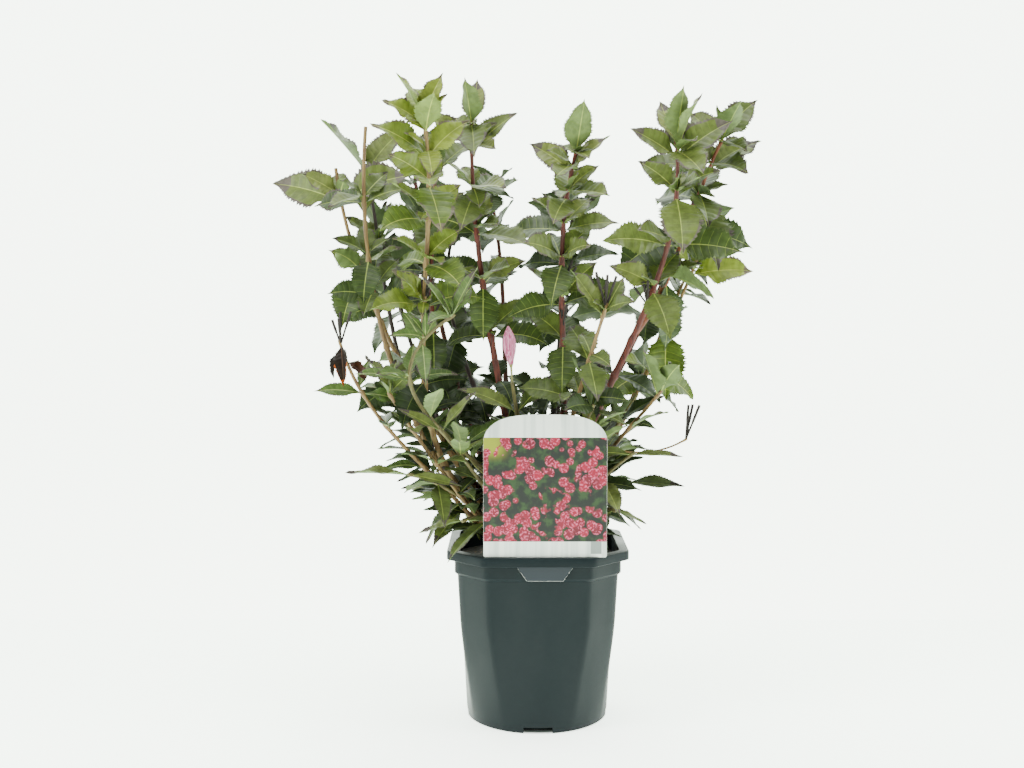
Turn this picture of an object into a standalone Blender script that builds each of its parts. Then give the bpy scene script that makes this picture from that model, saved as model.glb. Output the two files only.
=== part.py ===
# A weigela in its nursery pot. Metres, +Z up, origin in the middle of the pot's underside,
# +X to the viewer's right, +Y away from the viewer.
#
# The pot, its soil and its label come first, then the woody stem base that stands on the soil.
# Each shoot is one smooth curve from the stem base to its tip. The lower share of a tall shoot
# is a bare tapering bough. The rest is a mass: a three-sided stem with its twigs and leaves
# fused on. Leaves sit in opposite pairs, each pair a quarter turn from the next, and a leaf
# that would meet another piece is turned aside or left out.

import math
import random
from typing import NamedTuple

import bmesh
import bpy
import numpy as np
from mathutils import Matrix, Vector
from mathutils.bvhtree import BVHTree

GAP = 0.0003                # between neighbouring pieces
SEED = 11

# Pot: an eight-sided top that rounds into a circular foot
RIM_HALF = 0.095            # middle to the outside of a flat side, at the lip
RIM_FLAT = 0.057            # half the length of the lip's flat side
RIM_TOP = 0.1885
LIP_DEPTH = 0.0094          # height of the lip's skirt
LIP_REACH = 0.008           # lip to collar
COLLAR_FOOT = 0.1650        # underside of the collar
COLLAR_STEP = 0.003         # collar to body
KINK = 0.114                # height where the sides start to round
KINK_HALF = 0.0815
FOOT_RADIUS = 0.076
FOOT_FLAT = 0.040           # half the length of a flat side at the foot
FOOT_ROUNDING = 1.5         # above 1 the sides start to round slowly
WALL = 0.002
SHELF_TOP = 0.009           # solid ring round the floor that holds the drain notches
SHELF_RADIUS = 0.058
FLOOR_TOP = 0.0025
SIDE_STEPS = 3              # straight steps along each of the eight sides
NOTCH_WIDTH = 0.030
NOTCH_HEIGHT = 0.0065
NOTCH_DEPTH = 0.014

# Soil
SOIL_EDGE = 0.1675
SOIL_TOP = 0.1695
SOIL_TABLE = 0.045          # radius of the level middle

# Label: an upright plate on the front of the lip, with a tongue down through a slot
LABEL_MIDDLE = 0.0065
LABEL_WIDTH = 0.125
LABEL_SHOULDER = 0.306
LABEL_TOP = 0.334
LABEL_THICK = 0.0008
ARCH_STEPS = 12
ARCH_ROUNDING = 0.62        # below 1 the arch is wide and its shoulders are tight
LABEL_Y = -0.090
TONGUE_HALF = 0.0285
TONGUE_END_HALF = 0.0185
TONGUE_TURN = 0.1785        # height where the tongue starts to narrow
TONGUE_FOOT = 0.1640

# Stem base: a low woody mound with a flared foot
BASE_MIDDLE = Vector((-0.006, 0.0))
BASE_REACH = Vector((0.041, 0.035))
BASE_HEIGHT = 0.020
BASE_SIDES = 14
BASE_PROFILE = ((1.0, 0), (0.86, 0.25), (0.74, 0.55), (0.52, 0.85), (0.22, 1.0))    # reach, height
SKIRT = 1.6                 # reach of the ground that stems are kept out of, in reaches of the base
FOOT_DEPTH = 0.006          # how far below the mound's face a stem's curve starts

# Limbs
BOUGH_SIDES = 6
TIP_GIRTH = 0.0011          # radius of a stem at its tip
TWIG_GIRTH = 0.0011
TWIG_END_GIRTH = 0.0009
TWIG_LENGTHS = (0.045, 0.065)
TWIG_SHARES = (0, 0.58, 1)  # where a twig has its rings
TWIG_PAIRS = ((0.97, 60), (0.58, 150))      # share and compass turn of its leaf pairs
TWIG_LEAF = 0.72            # its leaves, as a share of those on the stem
UNDER_PAIR = 0.01           # share of the stem from a leaf pair down to its twigs
TWIG_YOUTH = 0.3            # how young its leaves are beside those on the stem
FORK_REACH = 0.12           # share of a carrier below a fork that its shoot is kept off
PAST_NODE = 0.003           # from a leaf pair to the next ring of its stem
RING_SPACING = 0.055        # along a limb, at most
FEWEST_RINGS = 7            # along a whole shoot

# Dry flower stalks and the bud
STALK_FOOT = 0.985          # share of the stem
STALK_LEAN = 0.34
STALK_LENGTHS = (0.017, 0.025)
STALK_GIRTH = 0.0009
BUD_REACH = Vector((-0.004, -0.002, 0.054))
BUD_PROFILE = ((0, 0.0010), (0.30, 0.0014), (0.62, 0.0058), (0.84, 0.0048), (1, 0.0010))

# Leaves
ROOT_SIDE = 0.0004          # from the middle of the stem to where a leaf starts
ROOT_HALF = 0.0006
ROOT_THICK = 0.0010
LEAF_THICK = 0.015          # of its length
YOUNG = (0, 0.060)          # distance from the tip over which leaves reach their full size
RISE_AGES = (0, 0.022, 0.10, 0.26)          # distances from the tip, and the leaves' rise there
RISES = (64, 36, 28, 12)
DROOP_AGES = (0, 0.03, 0.20)                # and how far they arch over
DROOPS = (6, 26, 50)
STATIONS = ((0.34, 0.50), (0.70, 0.31))     # share of the length, half width as a share of the width
SMALL_LEAF = 0.044          # shorter leaves have one station
SMALL_STATION = ((0.45, 0.50),)
GUARD_START = 0.16          # share of the leaf that may lie in its own stem
GUARD = 0.0007              # room kept round a leaf
ATTEMPTS = ((0, 0), (22, 0), (-22, 0), (0, 18), (0, -18), (45, 8), (-45, 8), (75, 0), (-75, 0))


class Shoot(NamedTuple):
    """One shoot: where it stands, the points its stem passes through, and how its leaves grow."""
    name: str
    foot: tuple             # across and back, on the stem base
    way: tuple
    tip: tuple
    nodes: tuple            # shares of the stem at which leaf pairs sit
    turn: float = 0         # compass direction of the topmost pair, degrees
    girth: float = 0.0026   # radius at the foot
    bare: float = 0         # share of the stem that is a bough of its own
    leaf: float = 0.060     # longest leaf
    young: float = 0.78     # length of the topmost leaves, as a share of the longest
    tilt: float = 0         # degrees added to every leaf's rise
    face: float = 34        # degrees by which leaves that point sideways turn to the viewer
    twigs: int = 0          # pairs of side twigs, from the lowest leaf pairs up
    carrier: str = ""       # the bough it leaves, where that isn't the stem base
    fork: float = 0         # share of the carrier where it does
    stalks: int = 0         # dry flower stalks at the tip
    bud: bool = False


TALL_SHOOTS = (
    Shoot("left_outer", (-0.031, 0.003), ((-0.178, 0.008, 0.448), (-0.211, 0.018, 0.553)),
          (-0.217, 0.020, 0.590), (0.74, 0.92), turn=172, bare=0.68, leaf=0.066, young=1.7,
          tilt=-8),
    Shoot("left_inner", (-0.024, -0.006), ((-0.158, -0.026, 0.396), (-0.180, -0.034, 0.537)),
          (-0.178, -0.035, 0.627), (0.64, 0.72, 0.84), turn=170, bare=0.58, leaf=0.052),
    Shoot("left_thin", (-0.027, 0.011), ((-0.154, 0.040, 0.393), (-0.178, 0.054, 0.531)),
          (-0.188, 0.058, 0.594), (0.66, 0.80, 0.985), turn=20, bare=0.60, girth=0.0022, leaf=0.064,
          young=1.0),
    Shoot("left_pale", (-0.018, -0.016), ((-0.118, -0.050, 0.366), (-0.114, -0.062, 0.494)),
          (-0.117, -0.065, 0.637), (0.60, 0.69, 0.78, 0.85, 0.91, 0.96, 0.995), turn=25, bare=0.52,
          leaf=0.060, young=0.75),
    Shoot("left_straight", (-0.018, 0.003), ((-0.108, 0.012, 0.373), (-0.113, 0.022, 0.524)),
          (-0.109, 0.025, 0.608), (0.57, 0.71, 0.84, 0.95), turn=10, bare=0.50),
    Shoot("left_short", (-0.016, 0.014), ((-0.076, 0.042, 0.371), (-0.097, 0.054, 0.448)),
          (-0.094, 0.060, 0.517), (0.68, 0.86, 0.985), turn=60, bare=0.60, girth=0.0022, young=0.9),
    Shoot("centre_red", (-0.010, -0.007), ((-0.043, -0.018, 0.374), (-0.059, -0.020, 0.475)),
          (-0.069, -0.020, 0.636), (0.50, 0.62, 0.74, 0.83, 0.93, 0.99), turn=80, bare=0.44,
          girth=0.0032, leaf=0.066, young=0.66),
    Shoot("middle_dark", (0.003, 0.013), ((0.026, 0.050, 0.404), (0.031, 0.062, 0.515)),
          (0.030, 0.064, 0.600), (0.60, 0.73, 0.86), turn=75, bare=0.54, girth=0.0024),
    Shoot("middle_right", (0.006, -0.004), ((0.028, -0.020, 0.364), (0.025, -0.028, 0.459)),
          (0.040, -0.030, 0.604), (0.52, 0.62, 0.72, 0.80, 0.88, 0.945, 0.99), turn=85, bare=0.46,
          girth=0.0030, leaf=0.064),
    Shoot("middle_dry", (0.008, -0.019), ((0.040, -0.060, 0.346), (0.054, -0.080, 0.398)),
          (0.068, -0.090, 0.446), (0.62, 0.78, 0.95), turn=0, bare=0.55, girth=0.0022, leaf=0.056,
          stalks=5),
    Shoot("right_main", (0.017, -0.007), ((0.079, -0.022, 0.364), (0.117, -0.028, 0.449)),
          (0.143, -0.030, 0.614), (0.65, 0.76, 0.87, 0.96, 0.995), turn=90, bare=0.60, girth=0.0034,
          leaf=0.070, young=0.76),
    Shoot("right_outer", (), ((0.140, 0.002, 0.474), (0.165, 0.015, 0.536)),
          (0.200, 0.025, 0.621), (0.30, 0.52, 0.70, 0.85, 0.985), turn=-72, girth=0.0023,
          carrier="right_main", fork=0.545, leaf=0.080, young=0.70, tilt=-22),
    Shoot("right_thin", (0.022, 0.011), ((0.128, 0.060, 0.375), (0.163, 0.075, 0.448)),
          (0.193, 0.082, 0.520), (0.56, 0.70, 0.88), turn=5, bare=0.50, girth=0.0022, leaf=0.074,
          young=1.0, tilt=-22),
    Shoot("back_far_left", (-0.022, 0.025), ((-0.132, 0.080, 0.368), (-0.161, 0.100, 0.459)),
          (-0.179, 0.110, 0.523), (0.62, 0.77, 0.90, 0.99), turn=60, bare=0.55, girth=0.0022,
          face=-24),
    Shoot("back_left", (-0.012, 0.025), ((-0.098, 0.090, 0.379), (-0.128, 0.112, 0.517)),
          (-0.143, 0.120, 0.614), (0.60, 0.72, 0.83, 0.92, 0.99), turn=35, bare=0.54, face=-24),
    Shoot("back_centre", (-0.003, 0.022), ((-0.035, 0.090, 0.379), (-0.043, 0.118, 0.517)),
          (-0.056, 0.128, 0.588), (0.59, 0.72, 0.84, 0.94), turn=75, bare=0.53, face=-24),
    Shoot("back_middle", (0.008, 0.021), ((0.030, 0.080, 0.380), (0.040, 0.105, 0.505)),
          (0.044, 0.115, 0.568), (0.64, 0.80, 0.92, 0.99), turn=95, bare=0.56, face=-24),
    Shoot("back_right", (0.016, 0.019), ((0.108, 0.090, 0.391), (0.168, 0.118, 0.517)),
          (0.186, 0.125, 0.568), (0.66, 0.79, 0.90, 0.98), turn=50, bare=0.58, face=-24),
    Shoot("back_outer_right", (0.022, 0.016), ((0.110, 0.090, 0.333), (0.160, 0.120, 0.438)),
          (0.182, 0.132, 0.488), (0.60, 0.76, 0.90, 0.99), turn=30, bare=0.52, girth=0.0022,
          face=-24),
)

LOW_SHOOTS = (
    Shoot("left_dry", (-0.037, -0.014), ((-0.144, -0.050, 0.302), (-0.172, -0.062, 0.340)),
          (-0.203, -0.068, 0.408), (0.45, 0.66, 0.80), turn=15, girth=0.0018, leaf=0.050, tilt=-16,
          stalks=4),
    Shoot("front_young", (-0.014, -0.027), ((-0.100, -0.072, 0.317), (-0.128, -0.098, 0.365)),
          (-0.083, -0.112, 0.435), (0.31, 0.45, 0.60, 0.74, 0.87, 0.985), turn=20, girth=0.0018,
          leaf=0.058, young=0.8, twigs=1),
    Shoot("front_left", (-0.006, -0.030), ((-0.065, -0.070, 0.271),), (-0.100, -0.094, 0.320),
          (0.40, 0.60, 0.80, 0.98), turn=160, girth=0.0016, leaf=0.056, tilt=-20),
    Shoot("low_left_a", (-0.039, -0.021), ((-0.097, -0.050, 0.254),), (-0.134, -0.066, 0.270),
          (0.55, 0.78, 0.98), turn=170, girth=0.0014, leaf=0.066, tilt=-70),
    Shoot("low_left_b", (-0.041, -0.004), ((-0.080, -0.010, 0.225),), (-0.112, -0.014, 0.237),
          (0.66, 0.97), turn=150, girth=0.0013, leaf=0.058, tilt=-58),
    Shoot("low_left_c", (-0.041, 0.008), ((-0.102, 0.014, 0.270),), (-0.144, 0.020, 0.312),
          (0.50, 0.72, 0.97), turn=175, girth=0.0015, leaf=0.062, tilt=-34, twigs=1),
    Shoot("low_left_d", (-0.025, -0.022), ((-0.111, -0.062, 0.289),), (-0.152, -0.082, 0.356),
          (0.42, 0.60, 0.80, 0.98), turn=30, girth=0.0015, leaf=0.054, tilt=-14, twigs=1),
    Shoot("rim_left", (-0.026, -0.028), ((-0.060, -0.062, 0.225),), (-0.078, -0.082, 0.224),
          (0.60, 0.96), turn=170, girth=0.0013, leaf=0.060, tilt=-68),
    Shoot("rim_right", (0.034, -0.012), ((0.066, -0.035, 0.230),), (0.082, -0.045, 0.228),
          (0.55, 0.96), turn=20, girth=0.0013, leaf=0.046, tilt=-84),
    Shoot("low_right_a", (0.036, 0.001), ((0.068, -0.010, 0.241),), (0.100, -0.022, 0.256),
          (0.60, 0.95), turn=-20, girth=0.0014, leaf=0.064, tilt=-66),
    Shoot("low_right_b", (0.024, -0.021), ((0.070, -0.043, 0.264),), (0.100, -0.060, 0.292),
          (0.45, 0.68, 0.97), turn=10, girth=0.0015, leaf=0.064, tilt=-50, twigs=1),
    Shoot("right_low", (0.030, -0.005), ((0.075, -0.030, 0.288), (0.104, -0.046, 0.326)),
          (0.127, -0.060, 0.356), (0.55, 0.76, 0.97), turn=50, girth=0.0017, leaf=0.058, stalks=3,
          twigs=1),
    Shoot("front_centre", (0.002, -0.031), ((-0.016, -0.050, 0.294),), (-0.027, -0.058, 0.364),
          (0.46, 0.66, 0.84), turn=20, girth=0.0016, leaf=0.062, twigs=1, bud=True),
    Shoot("front_right", (0.013, -0.029), ((0.040, -0.060, 0.298),), (0.056, -0.078, 0.343),
          (0.50, 0.72, 0.97), turn=20, girth=0.0016, leaf=0.062, twigs=1),
    Shoot("mid_left", (-0.029, 0.022), ((-0.074, 0.044, 0.285),), (-0.112, 0.070, 0.354),
          (0.42, 0.60, 0.80, 0.98), turn=20, girth=0.0016, leaf=0.060, twigs=1),
    Shoot("mid_right", (0.030, 0.004), ((0.074, 0.020, 0.285),), (0.112, 0.040, 0.344),
          (0.42, 0.62, 0.80, 0.98), turn=70, girth=0.0016, leaf=0.060, twigs=1),
    Shoot("back_low_left", (-0.018, 0.031), ((-0.060, 0.084, 0.270),), (-0.092, 0.122, 0.318),
          (0.42, 0.60, 0.80, 0.98), turn=45, girth=0.0016, leaf=0.058, face=-24, twigs=1),
    Shoot("back_low_middle", (-0.004, 0.031), ((-0.006, 0.084, 0.260),), (-0.008, 0.130, 0.298),
          (0.42, 0.60, 0.80, 0.98), turn=0, girth=0.0016, leaf=0.058, face=-24, twigs=1),
    Shoot("back_low_right", (0.014, 0.029), ((0.050, 0.080, 0.270),), (0.082, 0.120, 0.314),
          (0.42, 0.60, 0.80, 0.98), turn=60, girth=0.0016, leaf=0.058, face=-24, twigs=1),
)

COLOURS = {
    "pot": ((0.045, 0.075, 0.075), 0.40),
    "soil": ((0.030, 0.018, 0.011), 0.95),
    "label": ((0.560, 0.200, 0.240), 0.35),
    "stem_base": ((0.160, 0.100, 0.060), 0.85),
    "bough": ((0.220, 0.090, 0.060), 0.60),
    "shoot": ((0.090, 0.140, 0.040), 0.50),
}


# Paths and solids

class Path:
    """A smooth curve through a few points, read by the share of its length."""

    def __init__(self, points):
        points = np.array([tuple(point) for point in points])
        chords = np.linalg.norm(np.diff(points, axis=0), axis=1)
        knots = np.append(0, np.cumsum(chords)) / chords.sum()
        steps = np.linspace(0, 1, 200)
        self.points = np.stack(
            [np.polyval(np.polyfit(knots, column, len(points) - 1), steps) for column in points.T], axis=1)
        spans = np.linalg.norm(np.diff(self.points, axis=0), axis=1)
        self.length = float(spans.sum())
        self.shares = np.append(0, np.cumsum(spans)) / self.length

    def point(self, share):
        return Vector([float(np.interp(share, self.shares, column)) for column in self.points.T])

    def heading(self, share):
        return (self.point(min(share + 0.01, 1)) - self.point(max(share - 0.01, 0))).normalized()


def skin(rings):
    """Points and faces of a closed solid through the rings; a ring of one point is a tip."""
    starts = np.cumsum([0] + [len(ring) for ring in rings])
    points = [point for ring in rings for point in ring]
    faces = []
    for low, near, far in zip(starts, rings, rings[1:]):
        high = low + len(near)
        for k in range(max(len(near), len(far))):
            here, beyond = low + k % len(near), high + (k + 1) % len(far)
            if len(near) > 1:
                faces.append([here, low + (k + 1) % len(near), beyond])
            if len(far) > 1:
                faces.append([here, beyond, high + k % len(far)])
    if len(rings[0]) > 2:
        faces.append(list(range(len(rings[0])))[::-1])
    if len(rings[-1]) > 2:
        faces.append(list(range(starts[-2], starts[-1])))
    return points, faces


def new_object(name, points, faces):
    """A mesh object with every face pointing outwards."""
    mesh = bpy.data.meshes.new(name)
    mesh.from_pydata([tuple(point) for point in points], [], faces)
    shape = bmesh.new()
    shape.from_mesh(mesh)
    if shape.calc_volume(signed=True) < 0:
        bmesh.ops.reverse_faces(shape, faces=shape.faces)
    shape.to_mesh(mesh)
    shape.free()
    piece = bpy.data.objects.new(name, mesh)
    bpy.context.scene.collection.objects.link(piece)
    return piece


def paint(piece, kind):
    """The piece's own plain material."""
    colour, roughness = COLOURS[kind]
    material = bpy.data.materials.new(piece.name)
    material.use_nodes = True
    shader = material.node_tree.nodes["Principled BSDF"]
    shader.inputs["Base Color"].default_value = (*colour, 1)
    shader.inputs["Roughness"].default_value = roughness
    shader.inputs["Metallic"].default_value = 0
    piece.data.materials.clear()
    piece.data.materials.append(material)


def box(name, low, high):
    corners = [(x, y, z) for x in (low[0], high[0]) for y in (low[1], high[1]) for z in (low[2], high[2])]
    return new_object(name, corners, [(0, 1, 3, 2), (4, 6, 7, 5), (0, 4, 5, 1), (2, 3, 7, 6),
                                      (0, 2, 6, 4), (1, 5, 7, 3)])


def drop(piece):
    mesh = piece.data
    bpy.data.objects.remove(piece)
    bpy.data.meshes.remove(mesh)


def apply_modifiers(piece):
    graph = bpy.context.evaluated_depsgraph_get()
    result = bpy.data.meshes.new_from_object(piece.evaluated_get(graph))
    old = piece.data
    piece.modifiers.clear()
    piece.data = result
    bpy.data.meshes.remove(old)


def cut(piece, cutter):
    """Takes the cutter away from the piece, and removes the cutter."""
    boolean = piece.modifiers.new("cut", "BOOLEAN")
    boolean.operation = "DIFFERENCE"
    boolean.solver = "EXACT"
    boolean.object = cutter
    apply_modifiers(piece)
    drop(cutter)


def is_one_body(mesh):
    """True if every edge has two faces and all the faces hang together."""
    shape = bmesh.new()
    shape.from_mesh(mesh)
    closed = all(edge.is_manifold for edge in shape.edges)
    reached, front = set(), [shape.verts[:][0]]
    while front:
        vertex = front.pop()
        if vertex not in reached:
            reached.add(vertex)
            front.extend(edge.other_vert(vertex) for edge in vertex.link_edges)
    whole = len(reached) == len(shape.verts)
    shape.free()
    return closed and whole


def fuse(piece, parts):
    """Joins the parts to the piece by one union, and removes them. The manifold solver
    steps in where the exact one leaves an open edge."""
    group = bpy.data.collections.new(piece.name + "_parts")
    bpy.context.scene.collection.children.link(group)
    for part in parts:
        bpy.context.scene.collection.objects.unlink(part)
        group.objects.link(part)
    stem = piece.data.copy()
    for solver in ("EXACT", "MANIFOLD"):
        boolean = piece.modifiers.new("union", "BOOLEAN")
        boolean.operation = "UNION"
        boolean.solver = solver
        boolean.operand_type = "COLLECTION"
        boolean.collection = group
        apply_modifiers(piece)
        if is_one_body(piece.data):
            break
        if solver == "EXACT":
            piece.data = stem.copy()
    for part in parts:
        drop(part)
    bpy.data.collections.remove(group)


# Pot, soil and label

def outline(half, flat, height, rounding=0.0):
    """One turn round the pot: eight sides, blended by the rounding towards a circle of the half width."""
    corners = [Vector(c) for c in ((half, -flat), (half, flat), (flat, half), (-flat, half),
                                   (-half, flat), (-half, -flat), (-flat, -half), (flat, -half))]
    ring = []
    for near, far in zip(corners, corners[1:] + corners[:1]):
        for step in range(SIDE_STEPS):
            straight = near.lerp(far, step / SIDE_STEPS)
            bent = straight.lerp(straight.normalized() * half, rounding)
            ring.append(Vector((bent.x, bent.y, height)))
    return ring


def inset(half, flat, depth):
    """The half width and half side of an eight-sided outline moved inwards by the depth."""
    return half - depth, flat - depth * math.tan(math.radians(22.5))


def foot_outline(height, depth):
    """The rounding lower part of the pot, at a height, the depth inside its outer face."""
    share = height / KINK
    half = FOOT_RADIUS + (KINK_HALF - FOOT_RADIUS) * share
    flat = FOOT_FLAT + (BODY_FLAT_AT_KINK - FOOT_FLAT) * share
    return outline(*inset(half, flat, depth), height, (1 - share) ** FOOT_ROUNDING)


COLLAR_HALF, COLLAR_FLAT = inset(RIM_HALF, RIM_FLAT, LIP_REACH)
BODY_HALF, BODY_FLAT = inset(COLLAR_HALF, COLLAR_FLAT, COLLAR_STEP)
BODY_FLAT_AT_KINK = BODY_FLAT * KINK_HALF / BODY_HALF


def inside_rings(depth, top):
    """The inner face of the pot up to the top, moved inwards by the depth."""
    wall = WALL + depth
    shelf = SHELF_RADIUS - depth
    return [
        outline(shelf, FOOT_FLAT * SHELF_RADIUS / FOOT_RADIUS, FLOOR_TOP + depth, 1),
        outline(shelf, FOOT_FLAT * SHELF_RADIUS / FOOT_RADIUS, SHELF_TOP + depth, 1),
        foot_outline(SHELF_TOP + depth, wall),
        foot_outline(KINK / 2, wall),
        outline(*inset(KINK_HALF, BODY_FLAT_AT_KINK, wall), KINK),
        outline(*inset(BODY_HALF, BODY_FLAT, wall), COLLAR_FOOT - COLLAR_STEP),
        outline(*inset(COLLAR_HALF, COLLAR_FLAT, wall), COLLAR_FOOT),
        outline(*inset(COLLAR_HALF, COLLAR_FLAT, wall), top),
    ]


def make_pot():
    lip_foot = RIM_TOP - LIP_DEPTH
    outside = [
        foot_outline(0, 0),
        foot_outline(KINK / 2, 0),
        outline(KINK_HALF, BODY_FLAT_AT_KINK, KINK),
        outline(BODY_HALF, BODY_FLAT, COLLAR_FOOT - COLLAR_STEP),
        outline(COLLAR_HALF, COLLAR_FLAT, COLLAR_FOOT),
        outline(COLLAR_HALF, COLLAR_FLAT, RIM_TOP - WALL),
        outline(*inset(RIM_HALF, RIM_FLAT, WALL), RIM_TOP - WALL),
        outline(*inset(RIM_HALF, RIM_FLAT, WALL), lip_foot),
        outline(RIM_HALF, RIM_FLAT, lip_foot),
        outline(RIM_HALF, RIM_FLAT, RIM_TOP),
    ]
    pot = new_object("pot", *skin(outside))
    cut(pot, new_object("hollow", *skin(inside_rings(0, RIM_TOP + WALL))))
    for quarter in range(4):
        turned = Matrix.Rotation(math.radians(90 * quarter), 4, "Z")
        notch = box("notch", (-NOTCH_WIDTH / 2, -FOOT_RADIUS - 0.01, -0.01),
                    (NOTCH_WIDTH / 2, -FOOT_RADIUS + NOTCH_DEPTH, NOTCH_HEIGHT))
        notch.data.transform(turned)
        cut(pot, notch)
    room = LABEL_THICK / 2 + GAP
    cut(pot, box("slot", (LABEL_MIDDLE - TONGUE_HALF - GAP, LABEL_Y - room, RIM_TOP - 2 * WALL),
                 (LABEL_MIDDLE + TONGUE_HALF + GAP, LABEL_Y + room, RIM_TOP + WALL)))
    paint(pot, "pot")
    return pot


def make_soil():
    """Fills the pot, and rises a little to a level middle."""
    rings = inside_rings(GAP, SOIL_EDGE)
    rings.append([Vector((point.x, point.y, 0)).normalized() * SOIL_TABLE + Vector((0, 0, SOIL_TOP))
                  for point in rings[-1]])
    soil = new_object("soil", *skin(rings))
    paint(soil, "soil")
    return soil


def make_label():
    """The plate's outline, anticlockwise from the tongue's right shoulder, and then its thickness."""
    half = LABEL_WIDTH / 2
    foot = RIM_TOP + GAP
    arch = [(TONGUE_HALF, foot), (half, foot)]
    rise = LABEL_TOP - LABEL_SHOULDER
    for step in range(ARCH_STEPS + 1):
        turn = math.pi * step / ARCH_STEPS
        across = math.copysign(abs(math.cos(turn)) ** ARCH_ROUNDING, math.cos(turn))
        arch.append((half * across, LABEL_SHOULDER + rise * math.sin(turn)))
    left = [(-half, foot), (-TONGUE_HALF, foot)]
    tongue = [(-TONGUE_HALF, TONGUE_TURN), (-TONGUE_END_HALF, TONGUE_FOOT),
              (TONGUE_END_HALF, TONGUE_FOOT), (TONGUE_HALF, TONGUE_TURN)]
    plate = arch + left + tongue
    rings = [[Vector((LABEL_MIDDLE + x, LABEL_Y + side * LABEL_THICK / 2, z)) for x, z in plate]
             for side in (-1, 1)]
    label = new_object("label", *skin(rings))
    paint(label, "label")
    return label


# Stem base

def mound(spread):
    """Rings of the stem base. With a spread, each face is moved out by it, and a wide skirt
    stands for the soil round about."""
    lumps = random.Random(SEED)
    rings = []
    for share, height in BASE_PROFILE:
        ring = []
        for side in range(BASE_SIDES):
            turn = 2 * math.pi * side / BASE_SIDES
            reach = share * (1 + lumps.uniform(-0.05, 0.05))
            flat = Vector((math.cos(turn) * (BASE_REACH.x * reach + spread),
                           math.sin(turn) * (BASE_REACH.y * reach + spread))) + BASE_MIDDLE
            ring.append(Vector((flat.x, flat.y, SOIL_TOP + GAP + BASE_HEIGHT * height + spread)))
        rings.append(ring)
    if spread:
        middle = BASE_MIDDLE.to_3d()
        skirt = [middle + (point - middle) * SKIRT for point in rings[0]]
        for point in skirt:
            point.z = rings[0][0].z
        rings = [[point - Vector((0, 0, BASE_HEIGHT)) for point in skirt], skirt, *rings]
    return rings


def make_stem_base():
    base = new_object("stem_base", *skin(mound(0)))
    paint(base, "stem_base")
    return base


# Limbs

def tube(path, shares, near, far, sides):
    """Rings round a path at some shares of it, tapering from the near radius to the far one."""
    across = Vector((0, 1, 0)) if abs(path.heading(shares[0]).y) < 0.8 else Vector((1, 0, 0))
    rings = []
    for share in shares:
        heading = path.heading(share)
        across = (across - heading * across.dot(heading)).normalized()
        other = heading.cross(across)
        radius = float(np.interp(share, (shares[0], shares[-1]), (near, far)))
        rings.append([path.point(share) + (across * math.cos(turn) + other * math.sin(turn)) * radius
                      for turn in (2 * math.pi * k / sides for k in range(sides))])
    return rings


def ring_shares(path, start, end, nodes=()):
    """Where a limb has its rings: at its ends, just past its leaf nodes, and between them where
    those lie far apart."""
    past = PAST_NODE / path.length
    spacing = min(RING_SPACING, path.length / FEWEST_RINGS)
    stops = [start, *sorted(node + past for node in nodes if start < node < end - 2 * past), end]
    shares = [start]
    for near, far in zip(stops, stops[1:]):
        count = max(1, math.ceil((far - near) * path.length / spacing))
        shares += [near + (far - near) * (step + 1) / count for step in range(count)]
    return shares


def on_limb(path, shares, share):
    """A point in the middle of a limb, on the straight run between two of its rings."""
    places = np.array([tuple(path.point(stop)) for stop in shares])
    return Vector([float(np.interp(share, shares, column)) for column in places.T])


def stem_path(shoot):
    if shoot.carrier:
        foot = PATHS[shoot.carrier].point(shoot.fork)
    else:
        across = Vector(shoot.foot) - BASE_MIDDLE
        reach = math.hypot(across.x / BASE_REACH.x, across.y / BASE_REACH.y)
        surface = float(np.interp(reach, *zip(*sorted(BASE_PROFILE))))
        foot = Vector((*shoot.foot, SOIL_TOP + BASE_HEIGHT * surface - FOOT_DEPTH))
    return Path([foot, *shoot.way, shoot.tip])


def girth_at(shoot, share):
    return shoot.girth + (TIP_GIRTH - shoot.girth) * share


def stem_rings(shoot, start, end, sides, extra=0.0):
    path = PATHS[shoot.name]
    shares = ring_shares(path, start, end, shoot.nodes)
    return tube(path, shares, girth_at(shoot, start) + extra, girth_at(shoot, end) + extra, sides)


def leave_room(piece, shoot):
    """Cuts a limb's foot back from what carries it."""
    if shoot.carrier:
        carrier = SHOOTS[shoot.carrier]
        rings = stem_rings(carrier, shoot.fork - FORK_REACH, carrier.bare, BOUGH_SIDES, GAP)
    else:
        rings = mound(GAP)
    cut(piece, new_object("room", *skin(rings)))


SHOOTS = {shoot.name: shoot for shoot in TALL_SHOOTS + LOW_SHOOTS}
PATHS = {}
for each in SHOOTS.values():
    PATHS[each.name] = stem_path(each)


def make_bough(shoot):
    bough = new_object("bough_" + shoot.name, *skin(stem_rings(shoot, 0, shoot.bare, BOUGH_SIDES)))
    leave_room(bough, shoot)
    paint(bough, "bough")
    return bough


# Leaves

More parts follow.
